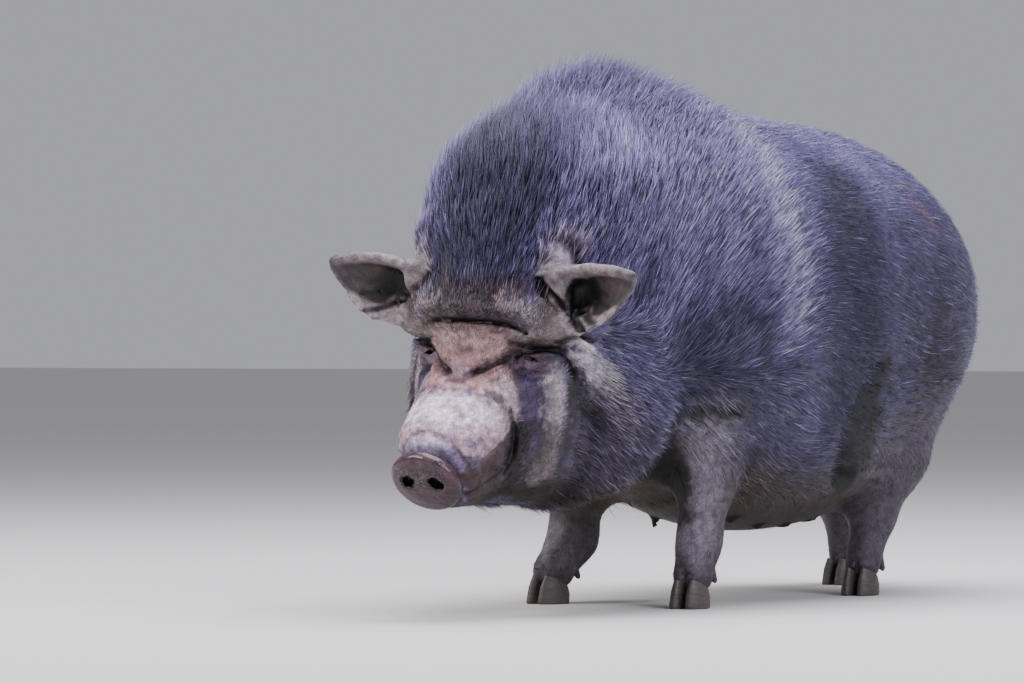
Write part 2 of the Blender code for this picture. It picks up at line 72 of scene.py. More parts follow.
EAR_AT = np.array((0.07, -0.028, -0.008))
EAR_LENGTH, EAR_ABOVE, EAR_BELOW = 0.1315, 0.038, 0.0415
EAR_RISE, EAR_FORWARD = 15.0, 25.0
EAR_FACES = (0.0, -1.0, -0.15)
EAR_CUP, EAR_CUP_AT_ROOT, EAR_SET_BACK, EAR_DEPTH = 0.026, 0.016, 0.01, 0.006
EAR_HALF_THICKNESS, EAR_RIDGE_HEIGHT, EAR_RIDGE_SPACING = 0.003, 0.0012, 0.0036

# Paths from here on are rows of coordinates in millimetres, three to a point. These run along the ear, across it
# and out of its hollow.
EAR_ROLL = (36, -12, 18.5, 34, 6, 16, 38, 22, 7, 55, 25.5, 3.5, 78, 22.5, 2.5, 102, 13, 1.5, 122, 2, 0.5)
EAR_ROLL_RADII = (0.009, 0.0106, 0.0098, 0.0084, 0.0066, 0.0052, 0.004)
EAR_LOBE = (36, -18, 6, 46, -28, 4, 63, -33, 2, 80, -31, 0, 93, -26.5, 0)
EAR_LOBE_RADII = (0.006, 0.006, 0.0055, 0.005, 0.004)

# The pit under the ear's root, and the places round it painted black as shade.
EAR_PIT_AT, EAR_PIT_HALF = (0.101, -0.048, 0.0), (0.009, 0.014, 0.016)
EAR_BLEND, EAR_PIT_BLEND = 0.012, 0.004
EAR_PIT = (109, -55, 14.6, 107, -50, -1, 105, -45, -14, 97, -36, -12, 99, -40, 0, 101, -46, 14)
EAR_BLACK = (107.3, -52.4, 19.7, 113.5, -39.2, 11.8, 110.9, -35.6, 1.2, 112, -39, -7.1)
BLACK_CREASES = (
    (
        64, -60.5, 17.6, 69, -58, 11.6, 77.2, -59.4, 5.7, 85.6, -60.8, -0.2, 90.4, -58.1, -6.2, 96, -54, -11.2,
        106, -59, -14.8,
    ),
    (106, -59, -14.8, 107, -56.7, -19.9, 109.9, -57.1, -24, 118.3, -65.1, -29.8, 125, -69, -33),
)
BLACK_CREASE_RADIUS, BLACK_CREASE_BLEND = 0.0028, 0.002

FOOT_REACH, FOOT_HEIGHT, BAND_HEIGHT = 0.07, 0.08, 0.019
CLEFT_HEIGHT, CLEFT_HALF = 0.04, 0.0018
HOOF_LENGTH, HOOF_WIDTH, HOOF_HEIGHT, HOOF_Y = 0.044, 0.021, 0.032, -0.01
# How wide a hoof is and how far back it leans, at these shares of its height.
HOOF_LEVELS, HOOF_WIDTHS, HOOF_LEANS = (0.0, 0.06, 0.6, 1.0), (0.94, 1.0, 0.93, 0.74), (0.0, 0.0, 0.1, 0.2)
DEWCLAW_OUT, DEWCLAW_Y, DEWCLAW_Z = 0.0125, 0.022, 0.036
DEWCLAW_TILT, DEWCLAW_SPLAY = 205.0, 10.0
DEWCLAW_LENGTH, DEWCLAW_RADIUS = 0.02, 0.0065
GAP = 0.0003
COAT_DEPTH, MANE_DEPTH, SHORT_COAT_DEPTH = 0.0055, 0.018, 0.0022

TRUNK = {
    "barrel": ((0, 0.05, 0.325), (0.205, 0.3, 0.222), 0, 0.0),
    "shoulders": ((0, -0.16, 0.385), (0.15, 0.19, 0.188), 0, 0.1),
    "rump": ((0, 0.203, 0.326), (0.193, 0.211, 0.192), 0, 0.07),
    "belly": ((0, 0.05, 0.21), (0.15, 0.24, 0.128), 0, 0.07),
    "chest": ((0, -0.17, 0.26), (0.13, 0.13, 0.115), 0, 0.08),
}
NECK = {
    "throat": ((0, -0.31, 0.31), (0.145, 0.15, 0.175), 15, 0.0),
    "crest": ((0, -0.265, 0.425), (0.06, 0.17, 0.16), 20, 0.08),
    "nape": ((0.04, -0.285, 0.42), (0.095, 0.12, 0.108), 15, 0.06),
    "hackles": ((0.018, -0.378, 0.434), (0.096, 0.094, 0.08), 10, 0.07),
}
HEAD = {
    "skull": ((0, 0.0, 0.01), (0.088, 0.09, 0.1), 0, 0.0),
    "poll": ((0, 0.04, 0.07), (0.092, 0.085, 0.085), 0, 0.05),
    "cheeks": ((0.05, 0.015, -0.105), (0.055, 0.078, 0.09), 0, 0.04),
    "jowls": ((0.085, 0.065, -0.12), (0.06, 0.08, 0.088), 0, 0.04),
    "double chin": ((0.04, 0.03, -0.165), (0.06, 0.075, 0.065), 0, 0.03),
    "forehead": ((0, -0.048, -0.03), (0.066, 0.058, 0.058), 0, 0.03),
}
HEAD_RODS = {
    "brow": ((0.05, -0.074, -0.014), (0.083, -0.046, -0.036), (0.019, 0.019), 1.0, 0.016),
    "temple": ((0.082, -0.052, -0.018), (0.076, -0.04, 0.05), (0.019, 0.018), 1.0, 0.016),
    "muzzle": ((0.0, -0.045, -0.092), (0.0, -0.13, -0.154), (0.05, 0.038), 1.42, 0.03),
    "lower jaw": ((0.0, 0.0, -0.172), (0.0, -0.112, -0.2), (0.05, 0.026), 1.3, 0.03),
}
LEGS = {
    "foreleg_left": (
        ((0.11, -0.2, 0.25), (0.105, -0.175, 0.15), (0.1, -0.183, 0.072), (0.101, -0.197, 0.036)),
        (0.07, 0.037, 0.023, 0.024),
    ),
    "foreleg_right": (
        ((-0.115, -0.19, 0.25), (-0.078, -0.155, 0.14), (-0.078, -0.166, 0.072), (-0.084, -0.196, 0.036)),
        (0.07, 0.038, 0.026, 0.025),
    ),
    "hindleg_left": (
        ((0.105, 0.185, 0.25), (0.106, 0.194, 0.16), (0.097, 0.189, 0.095), (0.094, 0.17, 0.036)),
        (0.094, 0.051, 0.026, 0.022),
    ),
    "hindleg_right": (
        ((-0.11, 0.24, 0.25), (-0.085, 0.335, 0.16), (-0.07, 0.402, 0.095), (-0.062, 0.388, 0.036)),
        (0.105, 0.055, 0.029, 0.022),
    ),
}
NECK_BLEND, HEAD_BLEND, LEG_BLEND, ORBIT_BLEND = 0.08, 0.05, 0.03, 0.012
FOOT_HEADING = {"foreleg_left": 6, "foreleg_right": -10, "hindleg_left": 8, "hindleg_right": -6}
TEAT_ROWS, TEAT_OUT, TEAT_FIRST, TEAT_LAST = 5, 0.052, -0.04, 0.18
TEAT_LENGTH, TEAT_RADIUS, TEAT_TIP_RADIUS = 0.016, 0.0055, 0.0032
TAIL = (0, 385, 400, 0, 428, 375, 4, 440, 310, 8, 436, 240, 10, 430, 170)
TAIL_RADII = (0.02, 0.013, 0.01, 0.01, 0.014)

# What belongs to the head lies ahead of this, towards -Y, what belongs to the tail behind that, and feet and teats
# lie below this height.
HEAD_BACK, TAIL_FRONT, BELLY_HEIGHT = -0.33, 0.33, 0.13

# ---- folds: paths over the skin, their width and depth, and how far their shoulders swell, in millimetres ----

FOLD_REACH, SHOULDER_AT, SHOULDER_WIDTH = 0.016, 0.006, 0.0045
# How deep a fold has to be to count in full for hair and shade.
FULL_HEAD_FOLD, FULL_BODY_FOLD = 0.004, 0.02
HEAD_FOLDS = {
    "behind the snout": ((0, -167, -147.5, 14, -165.5, -149, 26, -162, -152), 2, 2.4, 1),
    "brow": (
        (-10, -105, -25, 0, -105, -25, 10, -105, -26, 31, -100, -26, 48, -94, -27, 58, -87, -31, 68, -79, -38),
        2.3, 11, 3,
    ),
    "root of the nose": (
        (8, -108, -84, 19, -104, -80, 30, -97, -75, 40, -90, -67, 49, -80, -59, 56, -73, -56),
        2.6, 6.5, 2,
    ),
    "across the nose": ((-7, -115, -90.5, 7, -115, -90.5, 15.3, -108.7, -85.3, 34.7, -97.1, -79), 1.8, 3, 0.8),
    "beside the nose": ((26, -118, -96, 38, -112, -100, 45, -108, -101, 54, -101, -107), 1.6, 1.6, 0.6),
    "under the brow": (
        (
            46, -88, -46, 50, -85, -46.8, 59.5, -76, -48.7, 68.6, -68.6, -50, 80, -62, -49.5, 91.7, -56.5, -48.9,
            106, -47, -40,
        ),
        2.2, 8, 2,
    ),
    "over the eye": (
        (
            47.5, -71, -74, 48.5, -70.5, -66, 53, -69, -61, 59.7, -67, -59, 70, -62.1, -56.5, 80, -59, -53.5,
            89.5, -53, -54, 93, -44, -60, 96, -34, -72, 97, -32, -88,
        ),
        2, 7.5, 1.4,
    ),
    "eye corner": ((84, -56, -52, 91, -50, -50, 99, -36, -49, 104, -12, -55), 2.8, 5, 1.5),
    "under the eye": ((46, -72, -72, 56, -66, -77.5, 70, -59, -78.5, 81, -54, -76), 1.6, 3.6, 1),
    "lower under the eye": ((49, -71, -79, 62, -65, -84.5, 78, -56, -83.5), 1.5, 1.8, 0.8),
    "lid wrinkle": ((64, -62, -76.5, 69, -59.5, -73.5, 74.5, -57, -72.5), 1.2, 2.4, 0.6),
    "before the ear": ((68, -66, 22, 80, -66, 7.5, 87, -66, 0.5, 94, -63, -6.5, 103, -53, -16), 3.2, 11, 2),
    "under the ear": ((101, -47, -15, 99, -34, -25.5, 97.5, -18, -36, 102.5, -8, -41, 109, 1.5, -41.5), 3, 9, 2),
    "lip": ((57.5, -103, -115, 59.5, -101, -124, 57, -87, -145, 48, -71, -166, 45, -74, -179), 2.4, 4.5, 1.2),
    "mouth": ((12, -140, -214, 24, -127, -211, 34, -108, -206, 41, -87, -196, 46, -76, -182), 2.6, 6, 1.5),
    "over the snout": ((-12, -166, -147.5, 0, -167, -145.5, 11, -166, -146, 23, -163, -151), 1.3, 2.8, 1),
    "beside the snout": ((23, -163, -151, 31, -156, -160, 36, -148, -174, 37, -142, -190), 1.6, 2.2, 1),
    "cheek, front": ((76, -58, -80, 81, -56, -107, 76, -51, -139, 66, -47, -180), 6, 2, 1),
    "cheek, back": ((94, -34, -83, 96, -34, -106, 93, -32, -149, 80, -27, -190), 6, 3, 1),
}
BODY_FOLDS = {
    "flank": ((196, 62, 262, 184, 48, 214, 169, 40, 179, 149, 51, 146, 130, 75, 125), 8, 28, 4.5),
    "elbow": ((141, -291, 200, 153, -239, 212, 168, -199, 213), 5.5, 15, 4),
    "under the elbow": ((147, -318, 192, 152, -260, 196, 159, -195, 192), 6, 7, 2),
    "behind the ear's root": ((106, -466, 372, 106, -459, 392, 106, -450, 410, 106, -440, 425), 4, 2.8, 2.5),
    "thigh": ((170, 80, 178, 167, 100, 173, 164, 136, 173, 176, 182, 189), 6, 3.5, 1.5),
    "thigh's foot": ((150, 100, 146, 144, 133, 140, 152, 165, 144), 6, 3, 1.5),
}
FLANK_HOLLOW = (150, -20, 470, 190, -50, 380, 194, -45, 314, 180, -25, 225)
FLANK_HOLLOW_WIDTH, FLANK_HOLLOW_DEPTH = 0.05, 0.008


def turned(yaw=0.0, pitch=0.0, roll=0.0):
    """Axes turned by degrees: roll about Y, then pitch about X, then yaw about Z."""
    about_y = Matrix.Rotation(math.radians(roll), 3, "Y")
    about_x = Matrix.Rotation(math.radians(pitch), 3, "X")
    about_z = Matrix.Rotation(math.radians(yaw), 3, "Z")
    return np.array(about_z @ about_x @ about_y)


HEAD_AXES = turned(HEAD_YAW, 0.0, HEAD_ROLL)
DISC_AXES = turned(pitch=DISC_PITCH)
GAZE = np.array((math.sin(math.radians(EYE_OUTWARDS)), -math.cos(math.radians(EYE_OUTWARDS)), 0.0))
EYE_AXES = np.column_stack((np.cross((0, 0, 1), -GAZE), -GAZE, (0, 0, 1)))


def unit(vectors):
    return vectors / np.maximum(np.linalg.norm(vectors, axis=-1, keepdims=True), 1e-12)


def path_of(millimetres):
    """The points of a path."""
    return np.reshape(millimetres, (-1, 3)) / 1000


def in_head(points):
    """Places in the head's own axes: to its left, backwards and up."""
    return (points - HEAD_AT) @ HEAD_AXES


def ramp(low, high, value):
    """0 at low and before it, 1 at high and past it, which may be the smaller one."""
    share = np.clip((value - low) / (high - low), 0, 1)
    return share * share * (3 - 2 * share)


def bell(value):
    """1 at 0, falling away on both sides."""
    return np.exp(-(value**2))


def ellipsoid(points, centre, half, pitch=0.0):
    """About the distance to an ellipsoid's surface, below 0 inside it, as all distances here are."""
    local = (points - np.array(centre)) @ turned(pitch=pitch)
    half = np.array(half)
    reach = np.linalg.norm(local / half, axis=1)
    slope = np.linalg.norm(local / half**2, axis=1)
    return reach * (reach - 1) / np.maximum(slope, 1e-9)


def rod(points, start, end, radii, widening=1.0):
    """The distance to a round rod between two radii, which may be widened along X."""
    squash = np.array((1 / widening, 1, 1))
    start = np.array(start) * squash
    along = np.array(end) * squash - start
    local = points * squash - start
    share = np.clip(local @ along / (along @ along), 0, 1)
    radius = radii[0] + (radii[1] - radii[0]) * share
    return np.linalg.norm(local - share[:, None] * along, axis=1) - radius


def chain(points, joints, radii, reach=0.02):
    """Rods through the joints, blended into one."""
    found = None
    for start, end, first, last in zip(joints, joints[1:], radii, radii[1:]):
        piece = rod(points, start, end, (first, last))
        found = piece if found is None else blend(found, piece, reach)
    return found


def blend(a, b, reach):
    """The distance to both shapes together, with a fillet where they meet."""
    if reach == 0.0:
        return np.minimum(a, b)
    share = np.clip(0.5 + 0.5 * (b - a) / reach, 0, 1)
    return b + (a - b) * share - reach * share * (1 - share)


def carve(a, b, reach):
    """Shape a with shape b taken out of it."""
    return -blend(-a, b, reach)


def mirrored(points):
    """The same places with her right side folded onto her left."""
    return np.column_stack((np.abs(points[:, 0]), points[:, 1], points[:, 2]))


def in_half_head(points):
    return mirrored(in_head(points))


def masses(points, table):
    found = None
    for centre, half, pitch, reach in table.values():
        piece = ellipsoid(points, centre, half, pitch)
        found = piece if found is None else blend(found, piece, reach)
    return found


def head_masses(points):
    folded = in_half_head(points)
    found = masses(folded, HEAD)
    for start, end, radii, widening, reach in HEAD_RODS.values():
        found = blend(found, rod(folded, start, end, radii, widening), reach)
    return carve(found, ellipsoid(folded, ORBIT_AT, ORBIT_HALF), ORBIT_BLEND)


def flesh(points):
    """Distance to the CAD solids' surface, coat and all, without ears, snout disc, tail and hooves."""
    found = blend(masses(points, TRUNK), masses(points, NECK), NECK_BLEND)
    found = blend(found, head_masses(points), HEAD_BLEND)
    for joints, radii in LEGS.values():
        found = blend(found, chain(points, joints, radii), LEG_BLEND)
    return found


def ear_axes():
    """Columns: along the ear to its tip, across it upwards, and out of its hollow, for the left ear."""
    rise, forward = math.radians(EAR_RISE), math.radians(EAR_FORWARD)
    along = Vector((math.cos(rise) * math.cos(forward), -math.cos(rise) * math.sin(forward), math.sin(rise)))
    hollow = Vector(EAR_FACES)
    hollow = (hollow - along * hollow.dot(along)).normalized()
    return np.column_stack((along, hollow.cross(along), hollow))


EAR_AXES = ear_axes()


def in_ear(folded):
    """Along the ear, across it and out of its hollow side, measured from the middle of its thickness."""
    along, across, out = ((folded - EAR_AT) @ EAR_AXES).T
    leaf = EAR_CUP * (across / EAR_ABOVE) ** 2 - EAR_SET_BACK
    leaf = leaf + EAR_CUP_AT_ROOT * np.exp(-np.maximum(along, 0) / 0.02) - EAR_DEPTH * ear_depths(along, across)
    slope = 2 * EAR_CUP * across / EAR_ABOVE**2
    return along, across, (out - leaf) / np.sqrt(1 + slope**2)


def ear_depths(along, across):
    """1 in the middle of the ear's dark hollow, 0 off it."""
    return bell((along - 0.047) / 0.016) * bell(across / 0.017)


def ear_edge(along, across):
    """How far outside the ear's outline a place is. The upper edge is straight and the lower one full."""
    upper = ramp(-0.008, 0.008, across)
    across_power, along_power = 1.667 - 0.417 * upper, 2.4 - 0.4 * upper
    reach = EAR_BELOW + (EAR_ABOVE - EAR_BELOW) * upper
    wide = np.abs(across) / reach
    far = np.maximum(along, 0) / EAR_LENGTH
    level = wide**across_power + far**along_power - 1
    steep_across = across_power / reach * wide ** (across_power - 1)
    steep_along = along_power / EAR_LENGTH * far ** (along_power - 1)
    return level / np.maximum(np.hypot(steep_across, steep_along), 8.0)


def ear(folded):
    """A cupped leaf with a broad roll along its front and top, a thick lower lobe and low ridges in its hollow."""
    along, across, out = in_ear(folded)
    edge = ear_edge(along, across)
    half = EAR_HALF_THICKNESS + 0.004 * ramp(0.02, -0.02, along)
    ridge = EAR_RIDGE_HEIGHT * np.sin((across + 0.1 * along) / EAR_RIDGE_SPACING)
    ridge = ridge * ramp(-0.006, -0.02, edge) * ramp(0.115, 0.06, along)
    beyond = np.maximum(edge + half + 0.0012, 0)
    sheet = np.hypot(beyond, out - ridge * (out > 0)) - half
    return np.maximum(blend(sheet, ear_rolls(along, across, out), 0.005), -along - 0.03)


def ear_front_share(points):
    """1 round the rolled edge of each ear and the black creases below it, where the hair is shortest."""
    folded = in_half_head(points)
    behind = ramp(0.014, 0.006, gap_to(folded, path_of(BEHIND_ROLL[0]))[0])
    creased = ramp(0.014, 0.006, black_crease(folded))
    return np.maximum.reduce((ramp(0.02, 0.01, ear_rolls(*in_ear(folded))), behind, 0.9 * creased))


def ear_rolls(along, across, out):
    """Distance to the roll and the lobe."""
    flat = np.column_stack((along, across, out))
    parts = (EAR_ROLL, EAR_ROLL_RADII), (EAR_LOBE, EAR_LOBE_RADII)
    return np.minimum(*(chain(flat, path_of(path), radii, 0.003) for path, radii in parts))


def in_disc(folded):
    return (folded - DISC_AT) @ DISC_AXES


def disc(folded):
    """The snout's flat end: a rounded plate with a faint rim and a notched top."""
    x, y, z = in_disc(folded).T
    reach = np.hypot(x / DISC_HALF_WIDTH, z / DISC_HALF_HEIGHT)
    edge = (reach - 1) * DISC_HALF_HEIGHT
    notch = 0.0014 * bell(x / 0.006) * ramp(0.0, 0.03, z)
    dish = 0.0026 * ramp(0.9, 0.5, reach) - notch
    across = np.maximum(edge + DISC_ROUNDING + 0.0004, 0)
    through = np.maximum(np.abs(y + dish * (y < 0)) - DISC_THICKNESS / 2 + DISC_ROUNDING + 0.0003, 0)
    return np.hypot(across, through) - DISC_ROUNDING


def nostril(folded):
    """A leaning hollow, pressed a centimetre into the disc."""
    x, y, z = in_disc(folded).T
    lean = x - NOSTRIL_OUT - 0.25 * (z - NOSTRIL_UP)
    depth = y + DISC_THICKNESS / 2
    local = np.column_stack((lean, depth, z - NOSTRIL_UP + 0.35 * lean))
    return ellipsoid(local, (0, 0, 0), NOSTRIL_HALF)


def tail(points):
    return chain(points, path_of(TAIL), TAIL_RADII, 0.008)


def smooth_path(path, between=4):
    """A rounder line through the same points."""
    path = path_of(path)
    ends = np.vstack((2 * path[0] - path[1], path, 2 * path[-1] - path[-2]))
    found = []
    for before, start, end, after in zip(ends, ends[1:], ends[2:], ends[3:]):
        for t in np.arange(between) / between:
            found.append(
                0.5 * (2 * start + (end - before) * t + (2 * before - 5 * start + 4 * end - after) * t**2)
                + 0.5 * (3 * start - before - 3 * end + after) * t**3
            )
    return np.array([*found, path[-1]])


def gap_to(points, path, inward=None, inside=FOLD_REACH):
    """The distance from each point to the line through a path's points, or to the strip that it sweeps inwards.

    With it comes how far the place on the line is from its nearer end.
    """
    best = np.full(len(points), np.inf)
    passed = np.zeros(len(points))
    lengths = np.linalg.norm(np.diff(path, axis=0), axis=1)
    for number, (start, end) in enumerate(zip(path, path[1:])):
        along = end - start
        off = points - start
        if inward is not None:
            off = off - np.clip(off @ inward, -inside, inside)[:, None] * inward
        share = np.clip(off @ along / (along @ along), 0, 1)
        gap = ((off - share[:, None] * along) ** 2).sum(1)
        closer = gap < best
        best = np.where(closer, gap, best)
        passed = np.where(closer, lengths[:number].sum() + share * lengths[number], passed)
    return np.sqrt(best), np.minimum(passed, lengths.sum() - passed)


def fold_lines(table, core):
    """Each fold with its path smoothed and its way inwards, towards a place in the flesh."""
    found = []
    for path, *sizes in table.values():
        line = smooth_path(path)
        found.append((line, unit(np.array(core) - line.mean(0)), *np.array(sizes) / 1000))
    return found


def folds(points, lines):
    """How far the folds lower the skin: a sharp crease between two swollen shoulders."""
    total = np.zeros(len(points))
    for path, inward, width, depth, swell in lines:
        margin = 6 * width + 0.012
        near = np.all((points > path.min(0) - margin) & (points < path.max(0) + margin), axis=1)
        gap, from_end = gap_to(points[near], path, inward, max(FOLD_REACH, depth))
        crease = depth * np.exp(-gap / width)
        shoulder = swell * bell((gap - width - SHOULDER_AT) / SHOULDER_WIDTH)
        total[near] += (crease - shoulder) * ramp(-0.002, 0.012, from_end)
    return total


def ripple(points, size, seed, waves=9):
    """Smooth noise from about -1 to 1, with features of this size."""
    draw = np.random.default_rng(seed)
    total = np.zeros(len(points))
    for _ in range(waves):
        way = draw.normal(size=3)
        way *= draw.uniform(0.7, 1.5) * math.pi / size / np.linalg.norm(way)
        total += np.sin(points @ way + draw.uniform(0, math.tau))
    return total / math.sqrt(waves)


HEAD_FOLD_LINES = fold_lines(HEAD_FOLDS, (0.0, 0.02, -0.08))
BODY_FOLD_LINES = fold_lines(BODY_FOLDS, (0.0, -0.1, 0.3))
HOLLOW_LINE = smooth_path(FLANK_HOLLOW)
LOW_SHOULDER = path_of((130, -260, 270, 170, -200, 270))


def black_crease(folded):
    """Distance to the black creases between the ears and the brow."""
    return np.minimum(*(gap_to(folded, path_of(path))[0] for path in BLACK_CREASES))


def crease_share(points):
    """1 at the bottom of the creases."""
    folded = in_half_head(points)
    black = ramp(0.006, 0.0035, black_crease(folded))
    head = folds(folded, HEAD_FOLD_LINES) / FULL_HEAD_FOLD
    body = folds(mirrored(points), BODY_FOLD_LINES) / FULL_BODY_FOLD
    return np.clip(np.maximum.reduce((head, black, body)), 0, 1)


def fold_side(points):
    """1 beside the deep folds of the body, where the coat stays short."""
    sides = mirrored(points)
    gap = np.minimum(*(gap_to(sides, line[0])[0] for line in BODY_FOLD_LINES[:2]))
    return ramp(0.03, 0.01, gap)


def crest_share(points):
    """1 along the mane, from the forehead to the middle of the back, and 0 off it."""
    x, y, z = points.T
    middle = HEAD_AT[0] * ramp(-0.25, -0.45, y)
    up_head = ramp(0.04, 0.13, in_head(points)[:, 2])
    found = bell((x - middle) / 0.07) * ramp(0.34, 0.45, z)
    return found * ramp(0.14, -0.06, y) * up_head


def mane_share(points):
    """1 on the crown of the head, above the brow."""
    x, y, z = in_head(points).T
    crown = ramp(-0.004, 0.016, z + 0.012 * ripple(points, 0.02, 14)) * ramp(0.16, 0.06, y)
    return crown * ramp(0.135, 0.105, np.abs(x)) * (1 - 0.8 * ear_front_share(points))


def face_share(points):
    """1 on the face's short hair, 0 behind it."""
    x, y, z = in_head(points).T
    back = 0.01 + 0.02 * ramp(-0.11, -0.08, z)
    return ramp(back, back - 0.04, y + 0.6 * np.maximum(np.abs(x) - 0.09, 0)) * ramp(0.018, -0.02, z)


def jowl_share(points):
    """1 on the cheeks behind the face and on the jowls."""
    _, y, z = in_head(points).T
    found = ramp(-0.03, 0.0, y) * ramp(0.13, 0.08, y) * ramp(-0.03, -0.06, z)
    return found * (1 - face_share(points))


def low_share(points):
    """1 on the legs and the underside, behind the head."""
    _, y, z = points.T
    return ramp(0.23, 0.14, z) * ramp(-0.36, -0.3, y) * (1 - belly_side(points))


def belly_side(points):
    """1 on the sides of the belly between the legs, where the coat reaches lowest."""
    _, y, z = points.T
    return ramp(-0.18, -0.13, y) * ramp(0.06, 0.02, y) * ramp(0.1, 0.13, z)


def coat_depth(points):
    """How far the skin lies under the tips of the coat."""
    short = np.maximum(face_share(points), low_share(points))
    return COAT_DEPTH + MANE_DEPTH * crest_share(points) - (COAT_DEPTH - SHORT_COAT_DEPTH) * short


def teat_places():
    """Where each teat grows out of the belly."""
    for row, side in itertools.product(range(TEAT_ROWS), (1, -1)):
        y = TEAT_FIRST + (TEAT_LAST - TEAT_FIRST) * row / (TEAT_ROWS - 1)
        heights = np.arange(0.03, 0.3, 0.0005)
        line = np.column_stack((np.full_like(heights, side * TEAT_OUT), np.full_like(heights, y), heights))
        yield np.array((side * TEAT_OUT, y, heights[np.argmax(flesh(line) < 0)]))


TEATS = list(teat_places())


# Each foot's place on the floor and its axes.
FEET = [
    (np.array((*joints[-1][:2], 0.0)), turned(yaw=FOOT_HEADING[leg])) for leg, (joints, _) in LEGS.items()
]


def head_skin(points, found):
    """The skin's distance near the head, with ears, snout, folds, lids and nostrils."""
    folded = in_half_head(points)
    found = blend(found, ear(folded), EAR_BLEND)
    found = carve(found, ellipsoid(folded, EAR_PIT_AT, EAR_PIT_HALF), EAR_PIT_BLEND)
    found = carve(found, black_crease(folded) - BLACK_CREASE_RADIUS, BLACK_CREASE_BLEND)
    found = found + folds(folded, HEAD_FOLD_LINES)
    found = blend(found, disc(folded), DISC_BLEND)
    off_eye = (folded - EYE_AT) @ EYE_AXES
    lids = np.linalg.norm(off_eye, axis=1) - EYE_RADIUS - LID_THICKNESS
    found = blend(found, lids, LID_BLEND)
    found = carve(found, ellipsoid(off_eye, EYE_OPENING_AT, EYE_OPENING_HALF), LID_EDGE)
    return carve(found, nostril(folded), NOSTRIL_EDGE)


def foot_skin(points, found):
    """The foot ends in a band round the tops of its claws, and is cleft between them."""
    for place, axes in FEET:
        x, y, z = ((points - place) @ axes).T
        near = (np.hypot(x, y) < FOOT_REACH) & (z < FOOT_HEIGHT)
        band = BAND_HEIGHT + 0.1 * np.maximum(-y[near], -0.03) - z[near]
        cleft = np.hypot(x[near], np.maximum(z[near] - CLEFT_HEIGHT, 0)) - CLEFT_HALF
        cleft = np.maximum(cleft, y[near] + 0.012)
        found[near] = carve(-blend(-found[near], -band, 0.006), cleft, 0.004)
    return found


def skin(points):
    """Distance to the bare skin."""
    found = flesh(points) + coat_depth(points)
    sides = mirrored(points)
    found = found + folds(sides, BODY_FOLD_LINES)
    near = (sides[:, 0] > 0.08) & (np.abs(points[:, 1]) < 0.2)
    gap, _ = gap_to(sides[near], HOLLOW_LINE)
    found[near] += FLANK_HOLLOW_DEPTH * bell(gap / FLANK_HOLLOW_WIDTH)
    near = points[:, 1] > TAIL_FRONT
    found[near] = blend(found[near], tail(points[near]) + 0.004, 0.02)
    near = points[:, 2] < BELLY_HEIGHT
    for place in TEATS:
        root, tip = place + (0, 0, 0.004), place - (0, 0, TEAT_LENGTH * 0.5)
        found[near] = blend(found[near], rod(points[near], root, tip, (TEAT_RADIUS, TEAT_TIP_RADIUS)), 0.005)
    found[near] = foot_skin(points[near], found[near])
    near = points[:, 1] < HEAD_BACK
    found[near] = head_skin(points[near], found[near])
    return found


# ---- meshes ----

# The skin is meshed in two parts, finely ahead of the seam and coarsely behind it, joined by a narrow strip.
SEAM_Y, SEAM_HALF = -0.3, 0.0015
HEAD_BOX, HEAD_STEP = ((-0.22, -0.66, 0.05), (0.26, SEAM_Y + 0.012, 0.62)), 0.0031
BODY_BOX, BODY_STEP = ((-0.24, SEAM_Y - 0.03, -0.02), (0.24, 0.5, 0.62)), 0.0078
LEG_HEIGHT, DEEP_FOLD = 0.125, 0.003
POINTS_AT_ONCE = 200000


def field_on_grid(distance, low, counts, step, block=4):
    """Distances at the points of a grid. Far from the surface only their signs are right."""
    blocks = -(-counts // block)
    places = np.indices(blocks).reshape(3, -1).T
    field = distance(low + (places + 0.5) * block * step - step / 2).reshape(blocks)
    for axis in range(3):
        field = np.repeat(field, block, axis=axis)
    field = field[: counts[0], : counts[1], : counts[2]].copy()
    near = np.argwhere(np.abs(field) < 1.7 * block * step)
    for part in np.array_split(near, max(1, len(near) // POINTS_AT_ONCE)):
        field[tuple(part.T)] = distance(low + part * step)
    return field


def surface_net(distance, low, high, step):
    """Vertices and quads where the distance is zero: one vertex in each cell of a grid that the surface crosses."""
    low = np.array(low)
    counts = np.ceil((np.array(high) - low) / step).astype(int) + 1
    field = field_on_grid(distance, low, counts, step)
    cells = counts - 1
    corners = {
        corner: field[tuple(slice(first, first + count) for first, count in zip(corner, cells))]
        for corner in itertools.product((0, 1), repeat=3)
    }
    inside = sum((values < 0).astype(np.int8) for values in corners.values())
    crossed = (inside > 0) & (inside < 8)
    total = np.zeros((crossed.sum(), 3))
    crossings = np.zeros(len(total))
    for corner, axis in itertools.product(corners, range(3)):
        if corner[axis]:
            continue
        step_on = np.eye(3, dtype=int)[axis]
        first = corners[corner][crossed]
        last = corners[tuple(np.array(corner) + step_on)][crossed]
        cut = (first < 0) != (last < 0)
        share = first[cut] / (first[cut] - last[cut])
        total[cut] += np.array(corner) + share[:, None] * step_on
        crossings[cut] += 1
    vertices = low + (np.argwhere(crossed) + total / crossings[:, None]) * step
    number = np.full(cells, -1)
    number[crossed] = np.arange(len(vertices))
    quads = [quads_across(field < 0, number, axis) for axis in range(3)]
    return vertices, np.concatenate(quads)


